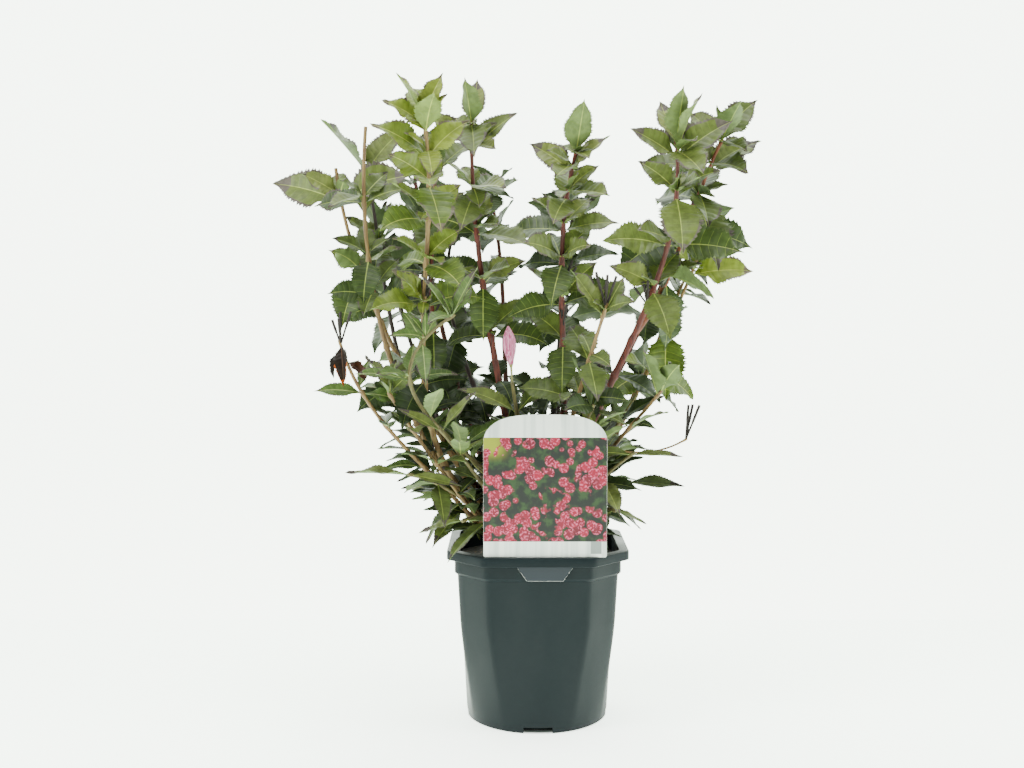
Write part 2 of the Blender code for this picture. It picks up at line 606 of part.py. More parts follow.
def leaf_rings(root, compass, rise, length, width, droop, fold, roll, guard=0.0, start=0.0):
    """Rings across a leaf. It leaves the middle of its stem and arches over towards its tip.
    The guard makes it larger all round, and the start is the share of it that is left out."""
    out = Vector((math.cos(compass), math.sin(compass), 0))
    across = Vector((-math.sin(compass), math.cos(compass), 0))
    steps = 20
    place = root + out * ROOT_SIDE
    middles = [place.copy()]
    for step in range(steps):
        pitch = rise + droop * (0.5 - (step + 0.5) / steps)
        place = place + (out * math.cos(pitch) + Vector((0, 0, math.sin(pitch)))) * (length / steps)
        middles.append(place.copy())
    rings = []
    stations = SMALL_STATION if length < SMALL_LEAF else STATIONS
    stations = ((start, start), *stations, (1.0, 0.0)) if guard else ((0.0, 0.0), *stations)
    for share, breadth in stations:
        pitch = rise + droop * (0.5 - share)
        heading = out * math.cos(pitch) + Vector((0, 0, math.sin(pitch)))
        side = Matrix.Rotation(roll * min(1, share * 3), 3, heading) @ across
        up = heading.cross(side)
        half = max(width * breadth, ROOT_HALF) + guard
        thick = (length * LEAF_THICK if share else ROOT_THICK) / 2 + guard
        middle = middles[round(share * steps)]
        lift = up * (half * math.sin(fold)) if share else Vector()
        rings.append([middle + side * half * math.cos(fold) + lift, middle + up * thick,
                      middle - side * half * math.cos(fold) + lift, middle - up * thick])
    if not guard:
        rings.append([middles[-1]])
    return rings


class Room:
    """What already stands, so that a new leaf or twig can be kept clear of it."""

    def __init__(self):
        self.taken = []

    def add(self, owner, points, faces):
        self.taken.append((owner, *self.reach(points), BVHTree.FromPolygons(points, faces)))

    def reach(self, points):
        places = np.array([tuple(point) for point in points])
        return places.min(axis=0), places.max(axis=0)

    def clear(self, owner, whole, outer):
        """True if the whole new shape is clear of other owners' pieces, and its outer part,
        which leaves out the root, is clear of its owner's."""
        for mine, rings in ((False, whole), (True, outer)):
            points, faces = skin(rings)
            low, high = self.reach(points)
            tree = BVHTree.FromPolygons(points, faces)
            for other_owner, other_low, other_high, other in self.taken:
                near = (low < other_high).all() and (high > other_low).all()
                if near and (other_owner == owner) == mine and tree.overlap(other):
                    return False
        return True


def grow_leaf(room, draw, root, compass, age, shoot, scale=1.0):
    """A leaf that is small and upright near the tip, and long and spreading lower down."""
    length = shoot.leaf * scale * np.interp(age, YOUNG, (shoot.young, 1)) * draw.uniform(0.93, 1.07)
    width = length * np.interp(age, YOUNG, (0.49, 0.53)) * draw.uniform(0.94, 1.06)
    rise = np.interp(age, RISE_AGES, RISES) + shoot.tilt + draw.uniform(-10, 10)
    droop = np.interp(age, DROOP_AGES, DROOPS) * draw.uniform(0.7, 1.2)
    fold = np.interp(age, YOUNG, (22, 12))
    roll = shoot.face * math.cos(compass) + draw.uniform(-18, 18)
    for swing, lift in ATTEMPTS:
        form = (root, compass + math.radians(swing), math.radians(rise + lift), length, width,
                math.radians(droop), math.radians(fold), math.radians(roll))
        whole = leaf_rings(*form, guard=GUARD)
        if room.clear(shoot.name, whole, leaf_rings(*form, guard=GUARD, start=GUARD_START)):
            room.add(shoot.name, *skin(whole))
            return [leaf_rings(*form)]
    return []


def grow_pair(room, draw, root, compass, age, shoot, scale=1.0):
    rings = []
    for half_turn in (0, math.pi):
        swing = math.radians(draw.uniform(-12, 12))
        rings += grow_leaf(room, draw, root, compass + half_turn + swing, age, shoot, scale)
    return rings


def grow_twig(room, draw, root, compass, age, shoot):
    """A side twig that curves upwards, with two leaf pairs, where there is room for it."""
    length = draw.uniform(*TWIG_LENGTHS)
    out = Vector((math.cos(compass), math.sin(compass), 0))
    bend = root + out * length * 0.55 + Vector((0, 0, length * 0.35))
    path = Path([root, bend, bend + out * length * 0.25 + Vector((0, 0, length * 0.45))])
    whole, outer = (tube(path, (start, *TWIG_SHARES[1:]), TWIG_GIRTH + GUARD, TWIG_GIRTH + GUARD, 3)
                    for start in (0, GUARD_START))
    if not room.clear(shoot.name, whole, outer):
        return []
    room.add(shoot.name, *skin(whole))
    rings = [tube(path, TWIG_SHARES, TWIG_GIRTH, TWIG_END_GIRTH, 3)]
    for share, turn in TWIG_PAIRS:
        rings += grow_pair(room, draw, on_limb(path, TWIG_SHARES, share), compass + math.radians(turn),
                           age + (1 - share) * length, shoot, TWIG_LEAF)
    return rings


def flower_remains(shoot, draw, tip):
    """Dry stalks that fan out from the tip, or one closed bud on its stalk."""
    rings = []
    for stalk in range(shoot.stalks):
        turn = 2 * math.pi * stalk / shoot.stalks + draw.uniform(-0.3, 0.3)
        lean = Vector((math.cos(turn) * STALK_LEAN, math.sin(turn) * STALK_LEAN, 1)).normalized()
        line = Path([tip, tip + lean * draw.uniform(*STALK_LENGTHS)])
        rings.append(tube(line, (0, 1), STALK_GIRTH, STALK_GIRTH, 3))
    if shoot.bud:
        line = Path([tip, tip + BUD_REACH])
        rings.append([tube(line, (share,), radius, radius, 6)[0] for share, radius in BUD_PROFILE])
    return rings


def grow_shoot(shoot, room):
    """The solids of one mass: its stem first, then twigs, leaves and what is left of its flowers."""
    draw = random.Random(shoot.name)
    path = PATHS[shoot.name]
    start = shoot.bare + GAP / path.length if shoot.bare else 0
    shares = ring_shares(path, start, 1, shoot.nodes)
    stem = new_object("shoot_" + shoot.name, *skin(stem_rings(shoot, start, 1, 3)))
    if not shoot.bare:
        leave_room(stem, shoot)
    rings = flower_remains(shoot, draw, on_limb(path, shares, STALK_FOOT))
    for ring in rings:
        room.add(shoot.name, *skin(ring))
    for order, share in enumerate(sorted(shoot.nodes, reverse=True)):
        compass = math.radians(shoot.turn + 90 * order)
        age = (1 - share) * path.length
        if order >= len(shoot.nodes) - shoot.twigs:
            below = on_limb(path, shares, share - UNDER_PAIR)
            for half_turn in (0, math.pi):
                side = compass + half_turn + math.pi / 4 + math.radians(draw.uniform(-20, 20))
                rings += grow_twig(room, draw, below, side, age * TWIG_YOUTH, shoot)
        rings += grow_pair(room, draw, on_limb(path, shares, share), compass, age, shoot)
    parts = [new_object("leaf", *skin(ring)) for ring in rings]
    fuse(stem, parts)
    paint(stem, "shoot")
    return stem


def clear_scene():
    for piece in list(bpy.data.objects):
        bpy.data.objects.remove(piece)


def main():
    clear_scene()
    room = Room()
    for piece in (make_pot(), make_soil(), make_label(), make_stem_base()):
        room.add(piece.name, [vertex.co.copy() for vertex in piece.data.vertices],
                 [tuple(face.vertices) for face in piece.data.polygons])
    for shoot in SHOOTS.values():
        room.add(shoot.name, *skin(stem_rings(shoot, 0, 1, BOUGH_SIDES, GUARD)))
    for shoot in SHOOTS.values():
        if shoot.bare:
            make_bough(shoot)
    for shoot in SHOOTS.values():
        grow_shoot(shoot, room)


main()
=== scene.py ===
import random
from math import ceil, copysign, cos, exp, hypot, pi, radians, sin, sqrt, tan

import bmesh
import bpy
import numpy as np
from mathutils import Matrix, Vector
from mathutils.bvhtree import BVHTree


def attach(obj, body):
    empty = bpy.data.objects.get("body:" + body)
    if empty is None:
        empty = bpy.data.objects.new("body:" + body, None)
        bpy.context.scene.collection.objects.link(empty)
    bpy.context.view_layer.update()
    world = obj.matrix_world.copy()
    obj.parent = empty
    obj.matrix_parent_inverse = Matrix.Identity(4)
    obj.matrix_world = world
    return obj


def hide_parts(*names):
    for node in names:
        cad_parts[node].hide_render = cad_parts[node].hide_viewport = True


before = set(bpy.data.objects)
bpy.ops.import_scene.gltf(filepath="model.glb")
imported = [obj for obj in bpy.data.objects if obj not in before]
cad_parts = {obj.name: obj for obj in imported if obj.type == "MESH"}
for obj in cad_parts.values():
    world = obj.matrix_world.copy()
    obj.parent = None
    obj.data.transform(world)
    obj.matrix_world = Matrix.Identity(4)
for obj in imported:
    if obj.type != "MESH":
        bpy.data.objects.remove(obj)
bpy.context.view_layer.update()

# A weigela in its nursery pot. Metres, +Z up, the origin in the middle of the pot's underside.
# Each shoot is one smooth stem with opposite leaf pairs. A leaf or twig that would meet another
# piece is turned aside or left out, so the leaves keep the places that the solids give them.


# Shader maths

def screen(levels):    # a screen colour of 0 to 255 as the linear colour that a shader takes
    shares = [level / 255 for level in levels]
    return (*(share / 12.92 if share < 0.04045 else ((share + 0.055) / 1.055) ** 2.4
              for share in shares), 1)


class Value:    # a node's output, which takes part in sums with other outputs and with numbers

    def __init__(self, shader, socket):
        self.shader = shader
        self.socket = socket

    def work(self, operation, first, second):
        return self.shader.add("ShaderNodeMath", {"operation": operation}, first, second)

    def __add__(self, other):
        return self.work("ADD", self, other)

    def __sub__(self, other):
        return self.work("SUBTRACT", self, other)

    def __rsub__(self, other):
        return self.work("SUBTRACT", other, self)

    def __mul__(self, other):
        return self.work("MULTIPLY", self, other)

    __radd__ = __add__
    __rmul__ = __mul__

    def between(self, low, high):    # rises smoothly from 0 to 1 as the value goes from low to high
        return self.shader.add("ShaderNodeMapRange", {"interpolation_type": "SMOOTHSTEP"},
                               self, low, high, 0.0, 1.0)


class Shader:    # a material with one Principled shader; its colours are screen colours

    def __init__(self, name, colour, roughness, **plain):
        self.material = bpy.data.materials.new(name)
        self.material.use_nodes = True
        self.tree = self.material.node_tree
        self.surface = self.tree.nodes["Principled BSDF"]
        self.set("Base Color", screen(colour))
        self.set("Roughness", roughness)
        for socket, value in plain.items():
            self.set(socket.replace("_", " "), value)

    def set(self, socket, value):
        if isinstance(value, Value):
            self.tree.links.new(value.socket, self.surface.inputs[socket])
        else:
            self.surface.inputs[socket].default_value = value

    # A node of a kind, with its settings and then the values or links of its sockets
    def add(self, kind, settings=None, *values, output=0):
        node = self.tree.nodes.new(kind)
        for name, setting in (settings or {}).items():
            setattr(node, name, setting)
        for socket, value in zip((each for each in node.inputs if each.enabled), values):
            if isinstance(value, Value):
                self.tree.links.new(value.socket, socket)
            elif value is not None:
                socket.default_value = value
        return Value(self, [each for each in node.outputs if each.enabled][output])

    def place(self, stretch=(1, 1, 1)):    # object coordinates, stretched along the axes
        where = self.add("ShaderNodeTexCoord", output=3)
        if stretch == (1, 1, 1):
            return where
        return self.add("ShaderNodeVectorMath", {"operation": "MULTIPLY"}, where, stretch)

    def axis(self, name):
        return self.add("ShaderNodeSeparateXYZ", None, self.place(), output="XYZ".index(name))

    def noise(self, size, stretch=(1, 1, 1), detail=3.0, rough=0.55):    # lumps of a size in metres
        return self.add("ShaderNodeTexNoise", None, self.place(stretch), 1 / size, detail, rough)

    def mix(self, share, first, second):    # the first colour where the share is 0
        colours = [each if isinstance(each, Value) else screen(each) for each in (first, second)]
        return self.add("ShaderNodeMix", {"data_type": "RGBA"}, share, *colours)

    def bump(self, height, depth):
        self.set("Normal", self.add("ShaderNodeBump", None, 1.0, depth, None, height))


# Shapes

class Shape:    # points, faces and the faces' material slots, gathered for one piece

    def __init__(self, points=(), faces=(), slots=0):
        self.points = []
        self.faces = []
        self.slots = []
        self.add(points, faces, slots)

    def add(self, points, faces, slots=0):
        start = len(self.points)
        self.points += points
        self.faces += [tuple(start + index for index in face) for face in faces]
        self.slots += [slots] * len(faces) if isinstance(slots, int) else slots


# A smooth shaded piece, which stays sharp where it turns by more than some degrees
def newPiece(name, shape, materials, sharp):
    mesh = bpy.data.meshes.new(name)
    mesh.from_pydata([tuple(point) for point in shape.points], [], shape.faces)
    for material in materials:
        mesh.materials.append(material)
    mesh.polygons.foreach_set("material_index", shape.slots)
    mesh.polygons.foreach_set("use_smooth", [True] * len(mesh.polygons))
    mesh.set_sharp_from_angle(angle=radians(sharp))
    mesh.update()
    piece = bpy.data.objects.new(name, mesh)
    bpy.context.scene.collection.objects.link(piece)
    return piece


def faceOut(piece):    # turns every face of a closed mesh outwards
    shape = bmesh.new()
    shape.from_mesh(piece.data)
    bmesh.ops.recalc_face_normals(shape, faces=shape.faces)
    if shape.calc_volume(signed=True) < 0:
        bmesh.ops.reverse_faces(shape, faces=shape.faces)
    shape.to_mesh(piece.data)
    shape.free()


def finishPiece(piece, slot, *nodes):
    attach(piece, "root")
    if nodes:
        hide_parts(*nodes)


def cutBlock(piece, middle, size, turn=0.0):    # takes a block away from the piece
    bpy.ops.object.select_all(action="DESELECT")
    bpy.ops.mesh.primitive_cube_add(size=1, location=middle, rotation=(0, 0, turn))
    block = bpy.context.object
    block.scale = size
    bpy.ops.object.transform_apply(location=True, rotation=True, scale=True)
    boolean = piece.modifiers.new("cut", "BOOLEAN")
    boolean.operation = "DIFFERENCE"
    boolean.solver = "EXACT"
    boolean.object = block
    bpy.ops.object.select_all(action="DESELECT")
    piece.select_set(True)
    bpy.context.view_layer.objects.active = piece
    bpy.ops.object.modifier_apply(modifier=boolean.name)
    bpy.data.objects.remove(block)


def wrap(rings):    # a closed shape through rings of one count, the last of which may be a tip
    points, faces = [], []
    for near, far in zip(rings, rings[1:]):
        low, high = len(points), len(points) + len(near)
        points += near
        for k in range(len(near)):
            after = (k + 1) % len(near)
            faces.append((low + k, low + after, high) if len(far) == 1
                         else (low + k, low + after, high + after, high + k))
    points += rings[-1]
    faces.append(tuple(range(len(rings[0])))[::-1])
    if len(rings[-1]) > 1:
        faces.append(tuple(range(high, len(points))))
    return points, faces


def skin(rings):    # the same with triangles round it, for the tests of what touches
    points, faces = wrap(rings)
    sides = [half for a, b, c, d in faces[:-2] for half in ((a, b, c), (a, c, d))]
    return points, sides + faces[-2:]


# Shoots: a name, bark and palette, the foot on the woody mound, the way up to the tip and the
# shares of the length with leaf pairs. These lengths are in millimetres and turns in degrees.

# Two palettes paint light and shade: a lighter copy of the fresh colours for the tall top shoots, a
# darker one for the back, low and middle shoots.
shoots = {}


def addShoot(name, bark, palette, foot, way, nodes, turn=0, girth=2.6, bare=0, leaf=60,
             young=0.78, tilt=0, face=34, twigs=0, stalks=0, bud=False, carrier="", fork=0):
    metres = [tuple(part / 1000 for part in place) for place in (foot, *way)]
    shoots[name] = dict(
        name=name, bark=bark, palette=palette, foot=metres[0], way=metres[1:], nodes=nodes,
        turn=turn, girth=girth / 1000, bare=bare, leaf=leaf / 1000, young=young, tilt=tilt,
        face=face, twigs=twigs, stalks=stalks, bud=bud, carrier=carrier, fork=fork)


addShoot("left_outer", "tan", "sunny", (-31, 3), ((-178, 8, 448), (-211, 18, 553), (-217, 20, 590)),
         (0.74, 0.92), turn=172, bare=0.68, leaf=66, young=1.7, tilt=-8)
addShoot("left_inner", "tan", "fresh", (-24, -6),
         ((-158, -26, 396), (-180, -34, 537), (-178, -35, 627)), (0.64, 0.72, 0.84), turn=170,
         bare=0.58, leaf=52)
addShoot("left_thin", "dark", "fresh", (-27, 11),
         ((-154, 40, 393), (-178, 54, 531), (-188, 58, 594)), (0.66, 0.8, 0.985), turn=20,
         girth=2.2, bare=0.6, leaf=64, young=1)
addShoot("left_pale", "pale", "lime", (-18, -16),
         ((-118, -50, 366), (-114, -62, 494), (-117, -65, 637)),
         (0.6, 0.69, 0.78, 0.85, 0.91, 0.96, 0.995), turn=25, bare=0.52, young=0.75)
addShoot("left_straight", "red", "fresh", (-18, 3),
         ((-108, 12, 373), (-113, 22, 524), (-109, 25, 608)), (0.57, 0.71, 0.84, 0.95), turn=10,
         bare=0.5)
addShoot("left_short", "dark", "deep", (-16, 14), ((-76, 42, 371), (-97, 54, 448), (-94, 60, 517)),
         (0.68, 0.86, 0.985), turn=60, girth=2.2, bare=0.6, young=0.9)
addShoot("centre_red", "red", "sunny", (-10, -7),
         ((-43, -18, 374), (-59, -20, 475), (-69, -20, 636)), (0.5, 0.62, 0.74, 0.83, 0.93, 0.99),
         turn=80, girth=3.2, bare=0.44, leaf=66, young=0.66)
addShoot("middle_dark", "dark", "deep", (3, 13), ((26, 50, 404), (31, 62, 515), (30, 64, 600)),
         (0.6, 0.73, 0.86), turn=75, girth=2.4, bare=0.54)
addShoot("middle_right", "red", "sunny", (6, -4), ((28, -20, 364), (25, -28, 459), (40, -30, 604)),
         (0.52, 0.62, 0.72, 0.8, 0.88, 0.945, 0.99), turn=85, girth=3, bare=0.46, leaf=64)
addShoot("middle_dry", "tan", "fresh", (8, -19), ((40, -60, 346), (54, -80, 398), (68, -90, 446)),
         (0.62, 0.78, 0.95), girth=2.2, bare=0.55, leaf=56, stalks=5)
addShoot("right_main", "red", "sunny", (17, -7), ((79, -22, 364), (117, -28, 449), (143, -30, 614)),
         (0.65, 0.76, 0.87, 0.96, 0.995), turn=90, girth=3.4, bare=0.6, leaf=70, young=0.76)
addShoot("right_outer", "rose", "fresh", (), ((140, 2, 474), (165, 15, 536), (200, 25, 621)),
         (0.3, 0.52, 0.7, 0.85, 0.985), turn=-72, girth=2.3, leaf=80, young=0.7, tilt=-22,
         carrier="right_main", fork=0.545)
addShoot("right_thin", "tan", "lime", (22, 11), ((128, 60, 375), (163, 75, 448), (193, 82, 520)),
         (0.56, 0.7, 0.88), turn=5, girth=2.2, bare=0.5, leaf=74, young=1, tilt=-22)
addShoot("back_far_left", "dark", "deep", (-22, 25),
         ((-132, 80, 368), (-161, 100, 459), (-179, 110, 523)), (0.62, 0.77, 0.9, 0.99), turn=60,
         girth=2.2, bare=0.55, face=-24)
addShoot("back_left", "red", "deep", (-12, 25),
         ((-98, 90, 379), (-128, 112, 517), (-143, 120, 614)), (0.6, 0.72, 0.83, 0.92, 0.99),
         turn=35, bare=0.54, face=-24)
addShoot("back_centre", "red", "deep", (-3, 22), ((-35, 90, 379), (-43, 118, 517), (-56, 128, 588)),
         (0.59, 0.72, 0.84, 0.94), turn=75, bare=0.53, face=-24)
addShoot("back_middle", "dark", "deep", (8, 21), ((30, 80, 380), (40, 105, 505), (44, 115, 568)),
         (0.64, 0.8, 0.92, 0.99), turn=95, bare=0.56, face=-24)
addShoot("back_right", "red", "deep", (16, 19), ((108, 90, 391), (168, 118, 517), (186, 125, 568)),
         (0.66, 0.79, 0.9, 0.98), turn=50, bare=0.58, face=-24)
addShoot("back_outer_right", "tan", "deep", (22, 16),
         ((110, 90, 333), (160, 120, 438), (182, 132, 488)), (0.6, 0.76, 0.9, 0.99), turn=30,
         girth=2.2, bare=0.52, face=-24)
addShoot("left_dry", "tan", "pale", (-37, -14),
         ((-144, -50, 302), (-172, -62, 340), (-203, -68, 408)), (0.45, 0.66, 0.8), turn=15,
         girth=1.8, leaf=50, tilt=-16, stalks=4)
addShoot("front_young", "green", "pale", (-14, -27),
         ((-100, -72, 317), (-128, -98, 365), (-83, -112, 435)),
         (0.31, 0.45, 0.6, 0.74, 0.87, 0.985), turn=20, girth=1.8, leaf=58, young=0.8, twigs=1)
addShoot("front_left", "green", "fresh", (-6, -30), ((-65, -70, 271), (-100, -94, 320)),
         (0.4, 0.6, 0.8, 0.98), turn=160, girth=1.6, leaf=56, tilt=-20)
addShoot("low_left_a", "green", "fresh", (-39, -21), ((-97, -50, 254), (-134, -66, 270)),
         (0.55, 0.78, 0.98), turn=170, girth=1.4, leaf=66, tilt=-70)
addShoot("low_left_b", "green", "fresh", (-41, -4), ((-80, -10, 225), (-112, -14, 237)),
         (0.66, 0.97), turn=150, girth=1.3, leaf=58, tilt=-58)
addShoot("low_left_c", "green", "deep", (-41, 8), ((-102, 14, 270), (-144, 20, 312)),
         (0.5, 0.72, 0.97), turn=175, girth=1.5, leaf=62, tilt=-34, twigs=1)
addShoot("low_left_d", "tan", "fresh", (-25, -22), ((-111, -62, 289), (-152, -82, 356)),
         (0.42, 0.6, 0.8, 0.98), turn=30, girth=1.5, leaf=54, tilt=-14, twigs=1)
addShoot("rim_left", "green", "fresh", (-26, -28), ((-60, -62, 225), (-78, -82, 224)), (0.6, 0.96),
         turn=170, girth=1.3, tilt=-68)
addShoot("rim_right", "green", "fresh", (34, -12), ((66, -35, 230), (82, -45, 228)), (0.55, 0.96),
         turn=20, girth=1.3, leaf=46, tilt=-84)
addShoot("low_right_a", "green", "deep", (36, 1), ((68, -10, 241), (100, -22, 256)), (0.6, 0.95),
         turn=-20, girth=1.4, leaf=64, tilt=-66)
addShoot("low_right_b", "green", "fresh", (24, -21), ((70, -43, 264), (100, -60, 292)),
         (0.45, 0.68, 0.97), turn=10, girth=1.5, leaf=64, tilt=-50, twigs=1)
addShoot("right_low", "tan", "fresh", (30, -5), ((75, -30, 288), (104, -46, 326), (127, -60, 356)),
         (0.55, 0.76, 0.97), turn=50, girth=1.7, leaf=58, twigs=1, stalks=3)
addShoot("front_centre", "green", "fresh", (2, -31), ((-16, -50, 294), (-27, -58, 364)),
         (0.46, 0.66, 0.84), turn=20, girth=1.6, leaf=62, twigs=1, bud=True)
addShoot("front_right", "green", "deep", (13, -29), ((40, -60, 298), (56, -78, 343)),
         (0.5, 0.72, 0.97), turn=20, girth=1.6, leaf=62, twigs=1)
addShoot("mid_left", "green", "deep", (-29, 22), ((-74, 44, 285), (-112, 70, 354)),
         (0.42, 0.6, 0.8, 0.98), turn=20, girth=1.6, twigs=1)
addShoot("mid_right", "green", "deep", (30, 4), ((74, 20, 285), (112, 40, 344)),
         (0.42, 0.62, 0.8, 0.98), turn=70, girth=1.6, twigs=1)
addShoot("back_low_left", "green", "deep", (-18, 31), ((-60, 84, 270), (-92, 122, 318)),
         (0.42, 0.6, 0.8, 0.98), turn=45, girth=1.6, leaf=58, face=-24, twigs=1)
addShoot("back_low_middle", "green", "deep", (-4, 31), ((-6, 84, 260), (-8, 130, 298)),
         (0.42, 0.6, 0.8, 0.98), girth=1.6, leaf=58, face=-24, twigs=1)
addShoot("back_low_right", "green", "deep", (14, 29), ((50, 80, 270), (82, 120, 314)),
         (0.42, 0.6, 0.8, 0.98), turn=60, girth=1.6, leaf=58, face=-24, twigs=1)


# Stems

def along(points, shares, share):    # the place at a share of a line through the points
    return Vector([float(np.interp(share, shares, column)) for column in points.T])


def outward(compass):
    return Vector((cos(compass), sin(compass), 0))


class Path:    # a smooth curve through a few points, read by the share of its length

    def __init__(self, *points):
        points = np.array([tuple(point) for point in points])
        chords = np.linalg.norm(np.diff(points, axis=0), axis=1)
        knots = np.append(0, np.cumsum(chords)) / chords.sum()
        steps = np.linspace(0, 1, 200)
        self.points = np.stack([np.polyval(np.polyfit(knots, column, len(points) - 1), steps)
                                for column in points.T], axis=1)
        spans = np.linalg.norm(np.diff(self.points, axis=0), axis=1)
        self.length = float(spans.sum())
        self.shares = np.append(0, np.cumsum(spans)) / self.length

    def point(self, share):
        return along(self.points, self.shares, share)

    def heading(self, share):
        return (self.point(min(share + 0.01, 1)) - self.point(max(share - 0.01, 0))).normalized()


limb = dict(
    soilTop=0.1695, baseHeight=0.020, baseMiddle=(-0.006, 0.0), baseReach=(0.041, 0.035),
    profile=((1.0, 0), (0.86, 0.25), (0.74, 0.55), (0.52, 0.85), (0.22, 1.0)),
    footDepth=0.006, tipGirth=0.0011, pastNode=0.003, spacing=0.055, fewestRings=7,
    twigGirth=0.0011, twigLengths=(0.045, 0.065), twigShares=(0, 0.58, 1),
    twigPairs=((0.97, 60), (0.58, 150)), twigLeaf=0.72, twigYouth=0.3, underPair=0.01,
    stalkFoot=0.985, stalkLean=0.34, stalkLengths=(0.017, 0.025), stalkGirth=0.0009,
    budReach=(-0.004, -0.002, 0.054),
    budProfile=((0, 0.0010), (0.30, 0.0014), (0.62, 0.0058), (0.84, 0.0048), (1, 0.0010)))
paths = {}


def stemPath(shoot):    # a stem rises from the woody mound, or from a fork in its carrier
    if shoot["carrier"]:
        foot = paths[shoot["carrier"]].point(shoot["fork"])
    else:
        across = Vector(shoot["foot"]) - Vector(limb["baseMiddle"])
        reach = hypot(across.x / limb["baseReach"][0], across.y / limb["baseReach"][1])
        surface = float(np.interp(reach, *zip(*sorted(limb["profile"]))))
        height = limb["soilTop"] + limb["baseHeight"] * surface - limb["footDepth"]
        foot = (*shoot["foot"], height)
    return Path(foot, *shoot["way"])


for name, each in shoots.items():
    paths[name] = stemPath(each)


# Rings round a path at some shares of it, tapering from the near radius to the far one
def tube(path, shares, near, far, sides):
    across = Vector((0, 1, 0)) if abs(path.heading(shares[0]).y) < 0.8 else Vector((1, 0, 0))
    rings = []
    for share in shares:
        heading = path.heading(share)
        across = (across - heading * across.dot(heading)).normalized()
        other = heading.cross(across)
        radius = float(np.interp(share, (shares[0], shares[-1]), (near, far)))
        middle, turns = path.point(share), [2 * pi * side / sides for side in range(sides)]
        rings.append([middle + (across * cos(turn) + other * sin(turn)) * radius
                      for turn in turns])
    return rings


def ringShares(path, start, nodes):    # where the solids' stems have their rings
    past = limb["pastNode"] / path.length
    spacing = min(limb["spacing"], path.length / limb["fewestRings"])
    stops = [start, *sorted(node + past for node in nodes if start < node < 1 - 2 * past), 1]
    shares = [start]
    for near, far in zip(stops, stops[1:]):
        count = max(1, ceil((far - near) * path.length / spacing))
        shares += [near + (far - near) * (step + 1) / count for step in range(count)]
    return shares


def onLimb(path, shares, share):    # a point on the straight run between two rings of a limb
    return along(np.array([tuple(path.point(stop)) for stop in shares]), shares, share)


def girthAt(shoot, share):
    return shoot["girth"] + (limb["tipGirth"] - shoot["girth"]) * share


# Where the leaves grow

growth = dict(
    rootSide=0.0004, rootHalf=0.0006, rootThick=0.0010, thick=0.015, steps=20,
    young=(0, 0.060), younger=1.12, lengths=(0.917, 1.183), breadths=(0.49, 0.53),
    widths=(0.94, 1.06), lowTop=0.34, lowWidth=0.60, riseAges=(0, 0.022, 0.10, 0.26),
    rises=(64, 36, 28, 12), riseSpread=14, frontDrop=78, frontAge=0.03, sideDrop=22, sideAge=0.05,
    droopAges=(0, 0.03, 0.20), droops=(6, 26, 50), droopSpread=(0.7, 1.2), folds=(22, 12),
    faceShare=1.55, lowFaceShare=0.8, rollSpread=19.8, swingSpread=22.8,
    stations=((0.34, 0.50), (0.70, 0.31), (1, 0)), smallLeaf=0.044,
    smallStations=((0.45, 0.50), (1, 0)), guardStart=0.16, guard=0.0007,
    attempts=((0, 0), (22, 0), (-22, 0), (0, 18), (0, -18), (45, 8), (-45, 8), (75, 0), (-75, 0)))


def leafHeading(form, share):    # the direction along a leaf at a share of its length
    pitch = form["rise"] + form["droop"] * (0.5 - share)
    return outward(form["compass"]) * cos(pitch) + Vector((0, 0, sin(pitch)))


def leafLine(form):    # points along the middle of a leaf, from its root to its tip
    steps = growth["steps"]
    middles = [form["root"] + outward(form["compass"]) * growth["rootSide"]]
    for step in range(steps):
        heading = leafHeading(form, (step + 0.5) / steps)
        middles.append(middles[-1] + heading * (form["length"] / steps))
    return middles


def leafAxes(form, share):    # the directions across a leaf and out of its upper face
    heading = leafHeading(form, share)
    across = Vector((-sin(form["compass"]), cos(form["compass"]), 0))
    side = Matrix.Rotation(form["roll"] * min(1, share * 3), 3, heading) @ across
    return side, heading.cross(side)


def guardLeaf(form, start):    # a slightly larger, plain form of a leaf, which keeps room for it
    middles = leafLine(form)
    rings = []
    stations = growth["smallStations" if form["length"] < growth["smallLeaf"] else "stations"]
    for share, breadth in ((start, start), *stations):
        side, up = leafAxes(form, share)
        half = max(form["width"] * breadth, growth["rootHalf"]) + growth["guard"]
        thick = form["length"] * growth["thick"] if share else growth["rootThick"]
        rise = up * (thick / 2 + growth["guard"])
        middle = middles[round(share * growth["steps"])]
        lift = up * (half * sin(form["fold"])) if share else Vector()
        reach = side * half * cos(form["fold"])
        rings.append([middle + reach + lift, middle + rise, middle - reach + lift, middle - rise])
    return rings


class Room:    # what already stands, so that a new leaf or twig can be kept clear of it

    def __init__(self):
        self.taken = []

    def add(self, owner, points, faces):
        self.taken.append((owner, *self.reach(points), BVHTree.FromPolygons(points, faces)))

    def reach(self, points):
        places = np.array([tuple(point) for point in points])
        return places.min(axis=0), places.max(axis=0)

    # Takes a new shape if it is clear of other owners' pieces, and its outer part, which leaves
    # out the root, is clear of its owner's
    def take(self, owner, whole, outer):
        for mine, rings in ((False, whole), (True, outer)):
            points, faces = skin(rings)
            low, high = self.reach(points)
            tree = BVHTree.FromPolygons(points, faces)
            for otherOwner, otherLow, otherHigh, other in self.taken:
                near = (low < otherHigh).all() and (high > otherLow).all()
                if near and (otherOwner == owner) == mine and tree.overlap(other):
                    return False
        self.add(owner, *skin(whole))
        return True


